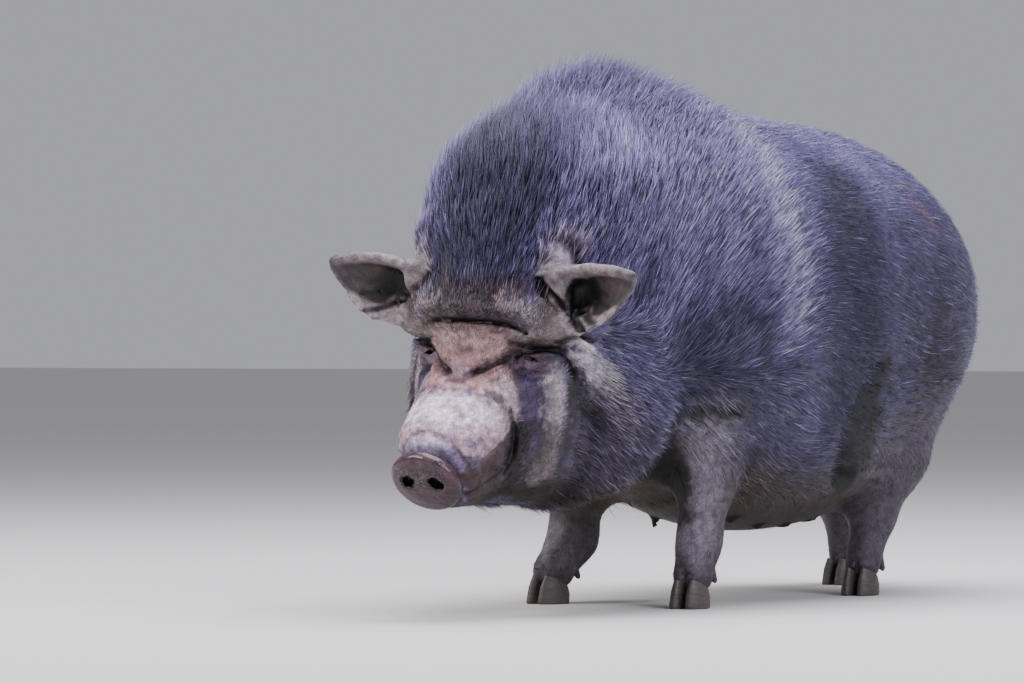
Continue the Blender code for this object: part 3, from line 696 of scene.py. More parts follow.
def quads_across(inside, number, axis):
    """The quads round those grid edges along one axis that the surface crosses, facing outwards."""
    order = (axis, (axis + 1) % 3, (axis + 2) % 3)
    inside, number = np.transpose(inside, order), np.transpose(number, order)
    first, last = inside[:-1, 1:-1, 1:-1], inside[1:, 1:-1, 1:-1]
    i, j, k = np.nonzero(first != last)
    ring = np.stack((number[i, j, k], number[i, j + 1, k], number[i, j + 1, k + 1], number[i, j, k + 1]), 1)
    backwards = ~first[i, j, k]
    ring[backwards] = ring[backwards][:, ::-1]
    return ring


def form_of(vertices, faces):
    mesh = bpy.data.meshes.new("form")
    mesh.from_pydata(vertices.tolist(), [], faces.tolist())
    form = bmesh.new()
    form.from_mesh(mesh)
    bpy.data.meshes.remove(mesh)
    return form


def kept_side(form, y, side):
    """Cuts a form across at one y and keeps the side towards -Y or +Y."""
    bmesh.ops.bisect_plane(
        form,
        geom=form.verts[:] + form.edges[:] + form.faces[:],
        dist=1e-6,
        plane_co=(0, y, 0),
        plane_no=(0, side, 0),
        clear_inner=True,
    )


def slope_of(distance, points, step=2e-4):
    """The distance's gradient."""
    found = [distance(points + off) - distance(points - off) for off in np.eye(3) * step]
    return np.column_stack(found) / (2 * step)


def settled(points, distance, rounds=2, most=0.004):
    """The points moved onto the surface."""
    for _ in range(rounds):
        slope = slope_of(distance, points)
        size = np.maximum((slope**2).sum(1), 0.05)
        move = (distance(points) / size)[:, None] * slope
        far = np.maximum(np.linalg.norm(move, axis=1), 1e-12)
        points = points - move * np.minimum(1, most / far)[:, None]
    return points


def refine(form, wanted):
    """Splits the faces whose middles are wanted, then settles what is new on the skin."""
    form.faces.ensure_lookup_table()
    middles = np.array([face.calc_center_median()[:] for face in form.faces])
    chosen = np.nonzero(wanted(middles))[0]
    edges = {edge for number in chosen for edge in form.faces[int(number)].edges}
    before = len(form.verts)
    bmesh.ops.subdivide_edges(form, edges=list(edges), cuts=1, use_grid_fill=True)
    form.verts.ensure_lookup_table()
    fresh = form.verts[before:]
    places = settled(np.array([vertex.co[:] for vertex in fresh]), skin)
    for vertex, place in zip(fresh, places):
        vertex.co = place


def near_eye(points, within=0.024):
    return np.linalg.norm(in_half_head(points) - EYE_AT, axis=1) < within


def near_disc(points):
    return np.linalg.norm(in_head(points) - DISC_AT, axis=1) < 0.05


def near_fold(points):
    """Beside the deeper creases."""
    found = np.zeros(len(points), bool)
    ahead = points[:, 1] < HEAD_BACK
    for places, here, lines in (
        (in_half_head(points), ahead, HEAD_FOLD_LINES),
        (mirrored(points), ~ahead, BODY_FOLD_LINES),
    ):
        for path, inward, width, depth, _ in lines:
            if depth > DEEP_FOLD:
                found[here] |= gap_to(places[here], path, inward)[0] < 1.2 * width
    return found


def skin_form():
    """The whole skin, meshed finer still on the legs and round eyes, snout and folds."""
    ahead = form_of(*surface_net(skin, *HEAD_BOX, HEAD_STEP))
    kept_side(ahead, SEAM_Y - SEAM_HALF, -1)
    behind = form_of(*surface_net(skin, *BODY_BOX, BODY_STEP))
    kept_side(behind, SEAM_Y + SEAM_HALF, 1)
    holder = bpy.data.meshes.new("holder")
    behind.to_mesh(holder)
    ahead.from_mesh(holder)
    behind.free()
    bpy.data.meshes.remove(holder)
    rims = [edge for edge in ahead.edges if edge.is_boundary]
    bmesh.ops.bridge_loops(ahead, edges=rims)
    refine(ahead, lambda points: (points[:, 2] < LEG_HEIGHT) & (points[:, 1] > SEAM_Y))
    refine(ahead, lambda points: near_eye(points) | near_disc(points) | near_fold(points))
    refine(ahead, lambda points: near_eye(points, 0.02))
    bmesh.ops.triangulate(ahead, faces=ahead.faces[:])
    bmesh.ops.recalc_face_normals(ahead, faces=ahead.faces[:])
    return ahead


def add(name, mesh, material):
    """An object that stands where she stands and rides on her body."""
    mesh.transform(Matrix.Translation(STANDS_AT))
    made = bpy.data.objects.new(name, mesh)
    bpy.context.scene.collection.objects.link(made)
    mesh.materials.append(material)
    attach(made, "root")
    return made


def mesh_of_triangles(name, vertices, triangles):
    mesh = bpy.data.meshes.new(name)
    mesh.vertices.add(len(vertices))
    mesh.vertices.foreach_set("co", vertices.astype(np.float32).ravel())
    mesh.loops.add(3 * len(triangles))
    mesh.loops.foreach_set("vertex_index", triangles.astype(np.int32).ravel())
    mesh.polygons.add(len(triangles))
    mesh.polygons.foreach_set("loop_start", np.arange(0, 3 * len(triangles), 3, dtype=np.int32))
    mesh.polygons.foreach_set("use_smooth", np.ones(len(triangles), bool))
    mesh.update(calc_edges=True)
    return mesh


def paint(mesh, name, colours):
    """A colour on each vertex."""
    layer = mesh.color_attributes.new(name, "FLOAT_COLOR", "POINT")
    filled = np.ones((len(colours), 4), np.float32)
    filled[:, :3] = colours
    layer.data.foreach_set("color", filled.ravel())


# ---- markings ----


def tone(red, green, blue):
    """A colour given as it looks on a screen, from 0 to 255."""
    seen = np.array((red, green, blue)) / 255
    return np.where(seen <= 0.04045, seen / 12.92, ((seen + 0.055) / 1.055) ** 2.4)


BLACK_COAT, MANE, NECK_GREY = tone(96, 91, 128), tone(50, 47, 74), tone(102, 94, 134)
# The first is a painted sheen on the back, the second painted shade on the flank.
BACK_SHEEN, FLANK_SHADE = tone(130, 124, 184), tone(52, 50, 76)
BROWN_UNDER, LEG_GREY, TEAT_COLOUR = tone(84, 66, 50), tone(84, 77, 86), tone(30, 20, 24)
DISC_COLOUR, NOSTRIL_SHADE, SNOUT_ROLL = tone(70, 46, 58), tone(6, 3, 4), tone(150, 136, 172)
BRISTLE = tone(168, 152, 148)
EYE_WHITE, IRIS, PUPIL = tone(120, 96, 88), tone(70, 42, 26), tone(6, 4, 4)
# The last is the near black painted as shade in the ears' hollows and pits and in the creases near them.
EAR_BACK, EAR_RIM, SHADE_BLACK = tone(92, 80, 94), tone(184, 168, 176), tone(4, 2, 2)
EAR_INSIDE, EAR_RUST, EAR_PALE = tone(46, 36, 34), tone(90, 68, 38), tone(84, 70, 76)

# Patches, painted in this order: path, radius, softness, unevenness and colour, with lengths in millimetres.
BODY_PATCHES = {
    "rump streak": ((151, 155, 471, 166, 166, 451, 183, 183, 417), 8, 8, 0.8, (140, 118, 140)),
    "hip streak": ((159, 8, 465, 169, 22, 450), 6, 6, 0.8, (132, 112, 130)),
    # A painted highlight along the ridge of the ribs.
    "rib ridge highlight": (
        (99, -99, 534, 121, -98, 514, 158, -121, 456, 183, -115, 370, 181, -116, 303),
        18, 22, 0.8, (168, 160, 212),
    ),
    "near foreleg": (
        (148, -235, 200, 118, -220, 170, 108, -215, 110, 106, -217, 85),
        32, 20, 0.3, (148, 138, 154),
    ),
    "thigh": ((178, 150, 310, 186, 165, 255), 50, 50, 0.9, (60, 54, 64)),
    "belly": ((120, -130, 130, 112, -30, 120, 130, 20, 126), 20, 45, 0.5, (96, 88, 84)),
    # Painted shade in the armpit, from the jowl's edge down between chest and foreleg.
    "armpit shade": ((122, -300, 160, 106, -262, 168, 86, -223, 145, 84, -204, 118), 26, 12, 0.5, (16, 9, 6)),
    "ham": ((150, 160, 200, 125, 165, 120, 108, 160, 50), 45, 30, 0.8, (88, 79, 92)),
    "behind the ear": ((119, -464, 388, 124, -443, 382), 9, 10, 0.6, (96, 80, 96)),
}
HEAD_PATCHES = {
    "face": ((0, -70, -20, 30, -60, -80, 30, -90, -160), 62, 22, 0.5, (86, 72, 80)),
    "jowl": ((70, -20, -120, 100, 30, -150, 50, -20, -190), 50, 30, 0.5, (76, 67, 84)),
    "jaw": (
        (0, -130, -222, 29, -99, -216, 48, -50, -206, 64, -25, -210, 90, 30, -220),
        22, 14, 0.6, (34, 24, 12),
    ),
    "brown brow": ((0, -105, -12, 30, -101, -8, 50, -94, -10), 17, 8, 0.8, (60, 45, 50)),
    "brow's end": ((78, -76, -18, 90, -70, -22, 97, -62, -33), 14, 9, 0.9, (98, 84, 78)),
    "pale brow": ((44, -96, -7, 57, -90, -13, 72, -82, -17), 9, 6, 1, (134, 120, 122)),
    "tan forehead": ((0, -102, -53, 20, -99, -51, 40, -91, -45), 17, 9, 0.7, (156, 124, 124)),
    "below the crease": ((0, -104, -32, 30, -100, -32, 55, -89, -36), 3, 6, 0.9, (80, 56, 58)),
    "tan point": ((0, -107, -66, 12, -106, -68), 13, 8, 0.7, (136, 100, 104)),
    "bridge": ((0, -112, -76, 10, -110, -77), 6, 4, 0.7, (150, 116, 114)),
    "nose root": ((0, -118, -96, 20, -112, -93, 36, -103, -86, 46, -90, -74), 12, 9, 0.8, (172, 130, 130)),
    # Pale skin on top of the muzzle, painted paler still as a highlight.
    "pale muzzle and highlight": (
        (0, -135, -114, 0, -158, -140, 30, -145, -135, 46, -125, -130, 28, -135, -117),
        18, 10, 0.6, (226, 202, 222),
    ),
    "muzzle's middle": ((0, -165, -155, 25, -158, -150, 50, -125, -145), 13, 10, 1, (186, 156, 174)),
    "muzzle's flank": ((50, -95, -92, 59, -92, -115, 56, -108, -148), 11, 7, 0.8, (184, 160, 168)),
    "muzzle's foot": ((44, -151, -163, 52, -115, -160), 9, 9, 1, (164, 142, 152)),
    "dark lip": ((30, -145, -185, 36, -124, -196, 42, -95, -188, 31, -124, -208), 15, 9, 1, (62, 44, 44)),
    "lip's corner": ((47, -100, -165, 47, -90, -170), 6, 5, 0.8, (124, 98, 104)),
    "purple blotch": ((42, -138, -170, 40, -132, -160), 4, 5, 1, (70, 50, 78)),
    "wrinkled root": ((0, -115, -90, 15.3, -108.7, -85.3, 34.7, -97.1, -79), 3.2, 4.5, 0.9, (106, 72, 88)),
    "band below the eye": (
        (65, -70, -83, 68, -75, -108, 67, -68, -129, 60, -61, -150),
        12, 4.5, 0.7, (80, 64, 100),
    ),
    # Painted shadow beside the mouth.
    "shadow beside the mouth": ((58, -66, -142, 52, -66, -165, 47, -70, -195), 11, 6, 0.8, (28, 18, 16)),
    "cheek stripe": ((85, -49, -81, 87, -49, -107, 84, -46, -132), 12, 5.5, 0.8, (196, 180, 194)),
    "lower stripe": ((81, -43, -147, 75, -42, -170, 66, -41, -188), 11, 6, 0.8, (126, 114, 116)),
    "second band": ((96, -30, -66, 103, -25, -90, 109, -20, -111, 112, -16, -122), 11, 7, 0.8, (24, 18, 30)),
    "behind the band": ((118, -4, -95, 130, 10, -105, 133, 18, -125), 14, 12, 0.8, (120, 108, 122)),
    "under the ear": ((97, -27, -50, 103, -15, -58, 114, -4, -77), 12, 8, 0.9, (212, 198, 212)),
    "upper lid": ((50, -76, -60, 60, -68, -58.5, 74, -61, -55), 5.5, 3, 0.5, (96, 70, 74)),
    # Painted shadow in the crease under the brow roll.
    "under the brow": ((48, -86, -49, 56, -77, -54, 70, -64, -54), 3.5, 3, 0.5, (30, 20, 20)),
    "lower lid": ((52, -68, -71.5, 63, -62, -73.5, 77, -56, -75), 5.5, 3, 0.7, (120, 94, 118)),
    "snout collar": ((0, -168, -159, 10, -167, -159, 18, -164, -161), 8.5, 4, 0.6, (196, 186, 222)),
    "collar's side": ((24, -161, -165, 29, -155, -173, 34, -148, -184), 7.5, 4, 0.9, (128, 110, 144)),
}
# Painted after the creases.
LATE_PATCHES = {
    "lump": (
        (57.5, -81.5, -38.5, 70.2, -72, -40, 83.5, -64.5, -42, 91.8, -65.5, -34, 93, -67, -26),
        6, 5.5, 0.9, (140, 128, 126),
    ),
    "lump's foot": ((66, -73, -44.5, 80, -64, -45.5, 90, -59, -44), 2.2, 2, 0.8, (112, 88, 64)),
    "inner corner": ((43.4, -86.8, -58.8, 47.7, -79.7, -58.5, 45, -80.5, -63.5), 3.6, 2.6, 0.6, (80, 52, 46)),
    # Painted shadow below the ear's hollow.
    "shadow below the ear's hollow": (
        (92.6, -58.3, -46.8, 97.9, -55.2, -43.4, 102, -48.1, -37.9, 102.3, -40.9, -30.6),
        4.8, 3.5, 0.5, (30, 22, 20),
    ),
}
# Painted shadow in the deep pocket between belly and thigh, on the side where the hind leg comes forward.
POCKET_SHADOW = ((172, 62, 200, 160, 70, 170, 149, 74, 146, 139, 70, 132), 15, 10, 0.6, (12, 10, 12))
BEHIND_ROLL = ((77.5, -52.5, 47, 88, -49, 42.5), 6, 5, 0.8, (236, 212, 242))
# Lines of painted shade between the ridges inside the ear, along it and across it.
EAR_LINES = (
    (50, 13, 0, 55.1, 6.9, 0, 69.1, -1, 0, 79.8, -9.9, 0),
    (48.1, -6.1, 0, 66.1, -14.2, 0, 85.1, -21.3, 0),
    (41.1, -13.2, 0, 50, -21.5, 0, 62, -28.5, 0, 75, -33.5, 0),
)
RUST_SPOTS = ((0.0782, 0.0066), (0.054, -0.011))
FOLD_SHADE_WIDTHS = (0.018, 0.015)


def patch(points, path, radius, softness, unevenness):
    """1 within a soft-edged, uneven band round a path. Lengths are in millimetres."""
    radius, softness = radius / 1000, softness / 1000
    gap, _ = gap_to(points, smooth_path(path))
    gap = gap + unevenness * softness * (0.6 * ripple(points, 0.011, 5) + 0.6 * ripple(points, 0.0045, 7))
    return ramp(radius + softness, radius - softness, gap)


def mixed(colours, colour, share):
    """Colours with another over them, by its share at each place."""
    share = np.reshape(share, (-1, 1))
    return colours * (1 - share) + colour * share


def dimmed(colours, factor):
    return colours * factor[:, None]


def patched(found, points, table, share=1):
    """The colours with a table's patches painted on, one after another."""
    for *band, colour in table:
        found = mixed(found, tone(*colour), share * patch(points, *band))
    return found


def markings(points):
    """Her colour at each place, skin and coat alike, with painted sheen, highlights and shade."""
    x, y, z = points.T
    sides, local = mirrored(points), in_head(points)
    neck = ramp(-0.05, -0.2, y) * ramp(0.26, 0.36, z)
    found = mixed(BLACK_COAT, NECK_GREY, neck)
    # Painted sheen: the top of the back over the shoulders is painted lighter and bluer.
    found = mixed(found, BACK_SHEEN, ramp(0.42, 0.5, z) * ramp(-0.25, -0.1, y))
    # Painted shade in the flank's hollow, and the same dark colour below the shoulder.
    hollow = ramp(0.075, 0.015, gap_to(sides, HOLLOW_LINE + (0, 0.045, 0))[0])
    low_shoulder = ramp(0.09, 0.03, gap_to(sides, LOW_SHOULDER)[0])
    found = mixed(found, FLANK_SHADE, 0.85 * np.maximum(hollow, low_shoulder))
    middle = ramp(0.095, 0.04, np.abs(local[:, 0]))
    found = mixed(found, MANE, mane_share(points) * middle * ramp(0.06, -0.02, local[:, 1]))
    found = dimmed(found, 1 - 0.38 * crest_share(points))
    found = mixed(found, LEG_GREY, low_share(points))
    under = ramp(0.24, 0.17, z) * ramp(0.15, 0.1, np.abs(x)) * ramp(-0.45, -0.38, y)
    found = mixed(found, BROWN_UNDER, 0.9 * under * ramp(0.07, 0.12, z))
    found = dimmed(found, np.exp(0.14 * ripple(points, 0.03, 3) + 0.14 * ripple(points, 0.009, 4)))
    found = patched(found, sides, BODY_PATCHES.values())
    # Painted shade in the flank and elbow folds, darker on her left side, and the painted shadow in the pocket.
    own_left = ramp(0, 0.02, x)
    for (path, inward, *_), width in zip(BODY_FOLD_LINES, FOLD_SHADE_WIDTHS):
        gap, _ = gap_to(sides, path, inward, 0.045)
        in_fold = ramp(width, 0.35 * width, gap + 0.003 * ripple(points, 0.008, 23))
        found = dimmed(found, 1 - (0.45 + 0.45 * own_left) * in_fold)
    found = patched(found, points, [POCKET_SHADOW], own_left)
    found = mixed(found, TEAT_COLOUR, teat_share(points))
    near = y < HEAD_BACK
    if near.any():
        found[near] = head_markings(points[near], found[near])
    return np.clip(found, 0.001, 1)


def teat_share(points):
    """1 on the teats."""
    return ramp(0.013, 0.008, np.min([np.linalg.norm(points - place, axis=1) for place in TEATS], axis=0))


def head_markings(points, found):
    """The colours with the head's patches, specks, ears and snout painted on, and painted shade in its creases and
    pits.
    """
    folded = in_half_head(points)
    found = patched(found, folded, HEAD_PATCHES.values(), 1 - mane_share(points))
    mottled = 0.21 * ripple(points, 0.005, 6) + 0.15 * ripple(points, 0.014, 8)
    specks = ramp(0.9, 1.7, ripple(points, 0.002, 15)) * ramp(-0.6, 0.8, ripple(points, 0.014, 16))
    found = found * np.exp(mottled[:, None] - 0.5 * specks[:, None] * (0.7, 1.1, 0.9))
    # Painted shade at the bottom of the creases.
    found = ear_markings(points, folded, dimmed(found, 1 - 0.85 * crease_share(points)))
    # Painted shade: the pit and the strip beside it are painted near black, and so are the creases by the ear, more
    # on her left side.
    for path, radius in ((EAR_PIT, 8.5), (EAR_BLACK, 7.0)):
        found = mixed(found, SHADE_BLACK, patch(folded, path, radius, 3.5, 0.3))
    own_left = ramp(-0.01, 0.01, in_head(points)[:, 0])
    for path, share in zip(BLACK_CREASES, (0.3 + 0.7 * own_left, own_left)):
        found = mixed(found, SHADE_BLACK, share * patch(folded, path, 5.6, 1.4, 0.2))
    found = patched(found, folded, LATE_PATCHES.values())
    return snout_markings(points, folded, patched(found, folded, [BEHIND_ROLL], 0.8))


def ear_markings(points, folded, found):
    """The colours with the ears painted on: back, rim, and a hollow with rust spots, painted shade deep in it and
    dark lines of painted shade.
    """
    along, across, out = in_ear(folded)
    edge, rolls = ear_edge(along, across), ear_rolls(along, across, out)
    inside = ramp(-0.001, 0.002, out)
    spots = [np.hypot(along - spot_along, across - spot_across) for spot_along, spot_across in RUST_SPOTS]
    rusty = ramp(0.011, 0.004, np.minimum(*spots) + 0.002 * ripple(points, 0.005, 17))
    hollow = mixed(EAR_INSIDE, EAR_RUST, rusty)
    hollow = mixed(hollow, EAR_PALE, ramp(0.066, 0.092, along + 0.006 * ripple(points, 0.008, 18)))
    hollow = dimmed(hollow, np.exp(0.2 * ripple(points, 0.007, 12)))
    # Painted shade deep in the hollow and towards the ear's root.
    deep = ramp(1.4, 0.9, np.hypot((along - 0.049) / 0.019, across / 0.021)) + ramp(0.04, 0.028, along)
    hollow = mixed(hollow, SHADE_BLACK, np.clip(deep, 0, 1))
    ears = mixed(EAR_BACK, hollow, inside * ramp(-0.003, -0.008, edge))
    rim = ramp(-0.005, -0.001, edge) * ramp(-0.03, -0.015, across)
    rolled = ramp(0.003, 0.0005, rolls) * ramp(0.0, 0.002, out)
    near_roll = ramp(0.009, 0.005, rolls)
    pale = np.maximum.reduce((rim, rolled, near_roll * ramp(0.06, 0.045, along)))
    ears = mixed(ears, mixed(EAR_RIM, EAR_BACK, 0.6 * ramp(0.095, 0.125, along)), 0.85 * pale)
    flat = np.column_stack((along, across, np.zeros(len(points))))
    for line in EAR_LINES:
        ears = mixed(ears, SHADE_BLACK, 0.9 * inside * ramp(0.0036, 0.001, gap_to(flat, smooth_path(line))[0]))
    ears = dimmed(ears, np.exp(0.16 * ripple(points, 0.005, 13)))
    leaf = ramp(0.014, 0.022, along) * ramp(0.024, 0.018, np.abs(out - 0.004))
    return mixed(found, ears, np.maximum(leaf * ramp(0.014, 0.008, edge), near_roll))


def snout_markings(points, folded, found):
    """The colours with the roll over the snout disc, the disc with a painted highlight along its top rim, and its
    nostrils painted black as shade.
    """
    x, y, z = in_disc(folded).T
    reach = np.hypot(x / DISC_HALF_WIDTH, z / DISC_HALF_HEIGHT)
    roll = ramp(1.55, 1.25, reach) * ramp(0.0, 0.02, z) * ramp(0.024, 0.014, y)
    found = mixed(found, SNOUT_ROLL, 0.6 * roll)
    # Painted highlight: the disc is lighter along its top rim.
    shade = 0.66 + 0.5 * ramp(0.7, 0.95, reach) * ramp(-0.01, 0.02, z)
    shade = shade + 0.15 * ripple(points, 0.004, 9)
    found = mixed(found, DISC_COLOUR * np.maximum(shade, 0.3)[:, None], ramp(0.0022, 0.0006, disc(folded)))
    # The nostrils are painted near black, as the shade inside them.
    return mixed(found, NOSTRIL_SHADE, ramp(0.0022, -0.0006, nostril(folded)))


# ---- materials ----


def new_material(name):
    """A material, its node tree and its shader."""
    made = bpy.data.materials.new(name)
    made.use_nodes = True
    return made, made.node_tree, made.node_tree.nodes["Principled BSDF"]


def node(tree, kind, **values):
    """A node, with its properties and, under the names of its sockets, their values or links."""
    made = tree.nodes.new(kind)
    for key, value in values.items():
        name = key.replace("_", " ")
        if name in made.inputs:
            if isinstance(value, bpy.types.NodeSocket):
                tree.links.new(value, made.inputs[name])
            else:
                made.inputs[name].default_value = value
        else:
            setattr(made, key, value)
    return made


def set_inputs(made, **values):
    """Sets the sockets of a node, named with underscores for spaces."""
    for key, value in values.items():
        made.inputs[key.replace("_", " ")].default_value = value


def ranged(tree, value, low, high, narrow=0.0):
    """A value from narrow to 1 - narrow spread from low to high."""
    spread = node(
        tree, "ShaderNodeMapRange", Value=value, From_Min=narrow, From_Max=1 - narrow, To_Min=low, To_Max=high
    )
    return spread.outputs["Result"]


def scaled_colour(tree, colour, value):
    """A colour times a value."""
    return node(tree, "ShaderNodeVectorMath", operation="SCALE", Vector=colour, Scale=value).outputs["Vector"]


def place_in(tree):
    return node(tree, "ShaderNodeNewGeometry").outputs["Position"]


def noise(tree, scale, detail, vector=None):
    """Noise from 0 to 1 over the places of the surface."""
    vector = vector or place_in(tree)
    return node(tree, "ShaderNodeTexNoise", Vector=vector, Scale=scale, Detail=detail).outputs["Fac"]


def painted(tree):
    """The colour that the markings give."""
    return node(tree, "ShaderNodeAttribute", attribute_name="Markings").outputs["Color"]


def skin_material():
    made, tree, shader = new_material("hide")
    wet = node(tree, "ShaderNodeAttribute", attribute_name="Wet").outputs["Fac"]
    blotches = ranged(tree, noise(tree, 110.0, 6.0), 0.55, 1.45, 0.3)
    specks = ranged(tree, noise(tree, 620.0, 2.0), 0.6, 1.4, 0.3)
    colour = scaled_colour(tree, scaled_colour(tree, painted(tree), blotches), specks)
    tree.links.new(colour, shader.inputs["Base Color"])
    tree.links.new(ranged(tree, wet, 0.58, 0.26), shader.inputs["Roughness"])
    set_inputs(shader, Specular_IOR_Level=0.45)
    cracks = node(
        tree, "ShaderNodeTexVoronoi", feature="DISTANCE_TO_EDGE", Vector=place_in(tree), Scale=420.0, Detail=3.0
    )
    fine = node(tree, "ShaderNodeBump", Strength=0.35, Distance=0.0006, Height=cracks.outputs["Distance"])
    coarse = node(tree, "ShaderNodeBump", Strength=0.5, Distance=0.0012, Height=noise(tree, 170.0, 6.0))
    tree.links.new(fine.outputs["Normal"], coarse.inputs["Normal"])
    tree.links.new(coarse.outputs["Normal"], shader.inputs["Normal"])
    return made


def coat_material():
    made, tree, shader = new_material("coat")
    tree.links.new(painted(tree), shader.inputs["Base Color"])
    set_inputs(shader, Roughness=0.48, Specular_IOR_Level=0.5, Specular_Tint=(0.84, 0.86, 1.0, 1.0))
    return made


def eye_material():
    made, tree, shader = new_material("eye")
    streaks = ranged(tree, noise(tree, 1400.0, 2.0), 0.6, 1.4)
    tree.links.new(scaled_colour(tree, painted(tree), streaks), shader.inputs["Base Color"])
    set_inputs(shader, Roughness=0.08, Coat_Weight=1.0, Coat_Roughness=0.03)
    return made


def horn_material():
    """Horn with fine level rings."""
    made, tree, shader = new_material("horn")
    stretched = node(tree, "ShaderNodeMapping", Vector=place_in(tree), Scale=(1.0, 1.0, 5.0))
    rings = noise(tree, 120.0, 4.0, stretched.outputs["Vector"])
    base = tree.nodes.new("ShaderNodeRGB")
    base.outputs[0].default_value = (*tone(70, 62, 60), 1)
    shade = ranged(tree, rings, 0.35, 1.7)
    tree.links.new(scaled_colour(tree, base.outputs[0], shade), shader.inputs["Base Color"])
    tree.links.new(ranged(tree, rings, 0.65, 0.4), shader.inputs["Roughness"])
    relief = node(tree, "ShaderNodeBump", Strength=0.4, Distance=0.0008, Height=rings)
    tree.links.new(relief.outputs["Normal"], shader.inputs["Normal"])
    return made


HIDE, COAT, EYE, HORN = skin_material(), coat_material(), eye_material(), horn_material()

# ---- skin ----

# The skin under the coat is painted darker, as shade under the hair.
SKIN_SHADE = 0.38  # Skin under the coat is darker than the hair over it.
FLESH_NODES = [
    "head", "neck", "trunk", "tail", "ear_left", "ear_right", "snout_disc",
    "foreleg_left", "foreleg_right", "hindleg_left", "hindleg_right",
]


def read(source, name, width, kind=float):
    """One value of each item of a mesh, as rows of this width."""
    found = np.empty(width * len(source), kind)
    source.foreach_get(name, found)
    return found.reshape(-1, width)


def add_skin():
    """The skin, painted. It gives its places, normals and triangles, on which the coat grows."""
    form = skin_form()
    mesh = bpy.data.meshes.new("skin")
    form.to_mesh(mesh)
    form.free()
    mesh.shade_smooth()
    places, normals = read(mesh.vertices, "co", 3), read(mesh.vertices, "normal", 3)
    corners = read(mesh.loops, "vertex_index", 1, np.int32).reshape(-1, 3)
    local = in_head(places)
    bare_nose = ramp(-0.06, -0.11, local[:, 1])
    # Painted shade under the coat, less on the legs, the face and the bare nose.
    shade = SKIN_SHADE + 0.14 * low_share(places) + 0.1 * face_share(places) + 0.3 * bare_nose
    paint(mesh, "Markings", dimmed(markings(places), shade))
    folded = mirrored(local)
    from_eye = np.abs(np.linalg.norm(folded - EYE_AT, axis=1) - EYE_RADIUS - 0.001)
    wet = ramp(0.004, 0.0, disc(folded)) + 0.7 * ramp(0.006, 0.002, from_eye)
    paint(mesh, "Wet", np.clip(wet, 0, 1)[:, None] * np.ones(3))
    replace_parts(add("skin", mesh, HIDE), *FLESH_NODES)
    return places, normals, corners


# ---- eyes and claws ----

# In degrees off the eye's axis.
CORNEA_EDGE, IRIS_EDGE, PUPIL_EDGE = 28, 37, 17
CORNEA_RISE = 0.05


def add_eye(name, side):
    """A ball with a low cornea, painted with pupil, iris and white."""
    form = bmesh.new()
    bmesh.ops.create_uvsphere(form, u_segments=56, v_segments=40, radius=1.0)
    bmesh.ops.triangulate(form, faces=form.faces[:])
    mesh = bpy.data.meshes.new(name)
    form.to_mesh(mesh)
    form.free()
    mesh.shade_smooth()
    rays = np.array([vertex.co[:] for vertex in mesh.vertices])
    off_axis = np.degrees(np.arccos(np.clip(rays[:, 2], -1, 1)))
    radius = (EYE_RADIUS - GAP) * (1 + CORNEA_RISE * bell(off_axis / CORNEA_EDGE))
    gaze = GAZE * (side, 1, 1)
    across = np.cross((0, 0, 1), gaze)
    axes = np.column_stack((across, np.cross(gaze, across), gaze))
    local = (rays * radius[:, None]) @ axes.T + EYE_AT * (side, 1, 1)
    mesh.vertices.foreach_set("co", (local @ HEAD_AXES.T + HEAD_AT).astype(np.float32).ravel())
    mesh.update()
    colours = mixed(EYE_WHITE, IRIS, ramp(IRIS_EDGE, IRIS_EDGE - 3, off_axis))
    paint(mesh, "Markings", mixed(colours, PUPIL, ramp(PUPIL_EDGE, PUPIL_EDGE - 3, off_axis)))
    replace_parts(add(f"eyeball_{name}", mesh, EYE), f"eye_{name}")


def turns(corners):
    return [math.tau * corner / corners for corner in range(corners)]


def hoof_rings(side):
    """One claw of a cloven hoof: a flat sole, a ringed wall that leans back, and a coronet lower at the heel."""
    count = 18
    for level in range(count + 1):
        height = level / count
        scale = np.interp(height, HOOF_LEVELS, HOOF_WIDTHS)
        scale += 0.012 * math.sin(level * 1.9) * (0.1 < height < 0.95)
        back = np.interp(height, HOOF_LEVELS, HOOF_LEANS)
        ring = []
        for turn in turns(36):
            ahead = math.cos(turn)
            inward = side * 0.22 * max(ahead, 0) ** 2
            across = HOOF_WIDTH / 2 * scale * (math.sin(turn) * (1 - 0.18 * max(ahead, 0)) - inward)
            along = -HOOF_LENGTH / 2 * (scale * ahead - back)
            ring.append((across, along, height * HOOF_HEIGHT * (0.78 + 0.22 * ahead)))
        yield ring


def dewclaw_rings():
    """A short blunt cone, ringed like the hooves."""
    count = 8
    for level in range(count + 1):
        share = level / count
        radius = DEWCLAW_RADIUS * (1 - 0.55 * share) * (1 + 0.03 * math.sin(level * 2.0))
        radius *= math.sqrt(max(1 - max(share - 0.85, 0) ** 2 / 0.03, 0.05))
        height = DEWCLAW_LENGTH * (share - 0.5)
        yield [(radius * math.cos(turn), 0.8 * radius * math.sin(turn), height) for turn in turns(20)]


def add_claw(name, rings, matrix, node_name):
    """A closed piece of horn through rings of points, from one end to the other."""
    form = bmesh.new()
    rows = [[form.verts.new(place) for place in ring] for ring in rings]
    for lower, upper in zip(rows, rows[1:]):
        for corner in range(len(lower)):
            form.faces.new((lower[corner - 1], lower[corner], upper[corner], upper[corner - 1]))
    form.faces.new(rows[0][::-1])
    form.faces.new(rows[-1])
    bmesh.ops.recalc_face_normals(form, faces=form.faces)
    mesh = bpy.data.meshes.new(name)
    form.to_mesh(mesh)
    form.free()
    mesh.shade_smooth()
    mesh.set_sharp_from_angle(angle=math.radians(50))
    mesh.transform(matrix)
    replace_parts(add(name, mesh, HORN), node_name)


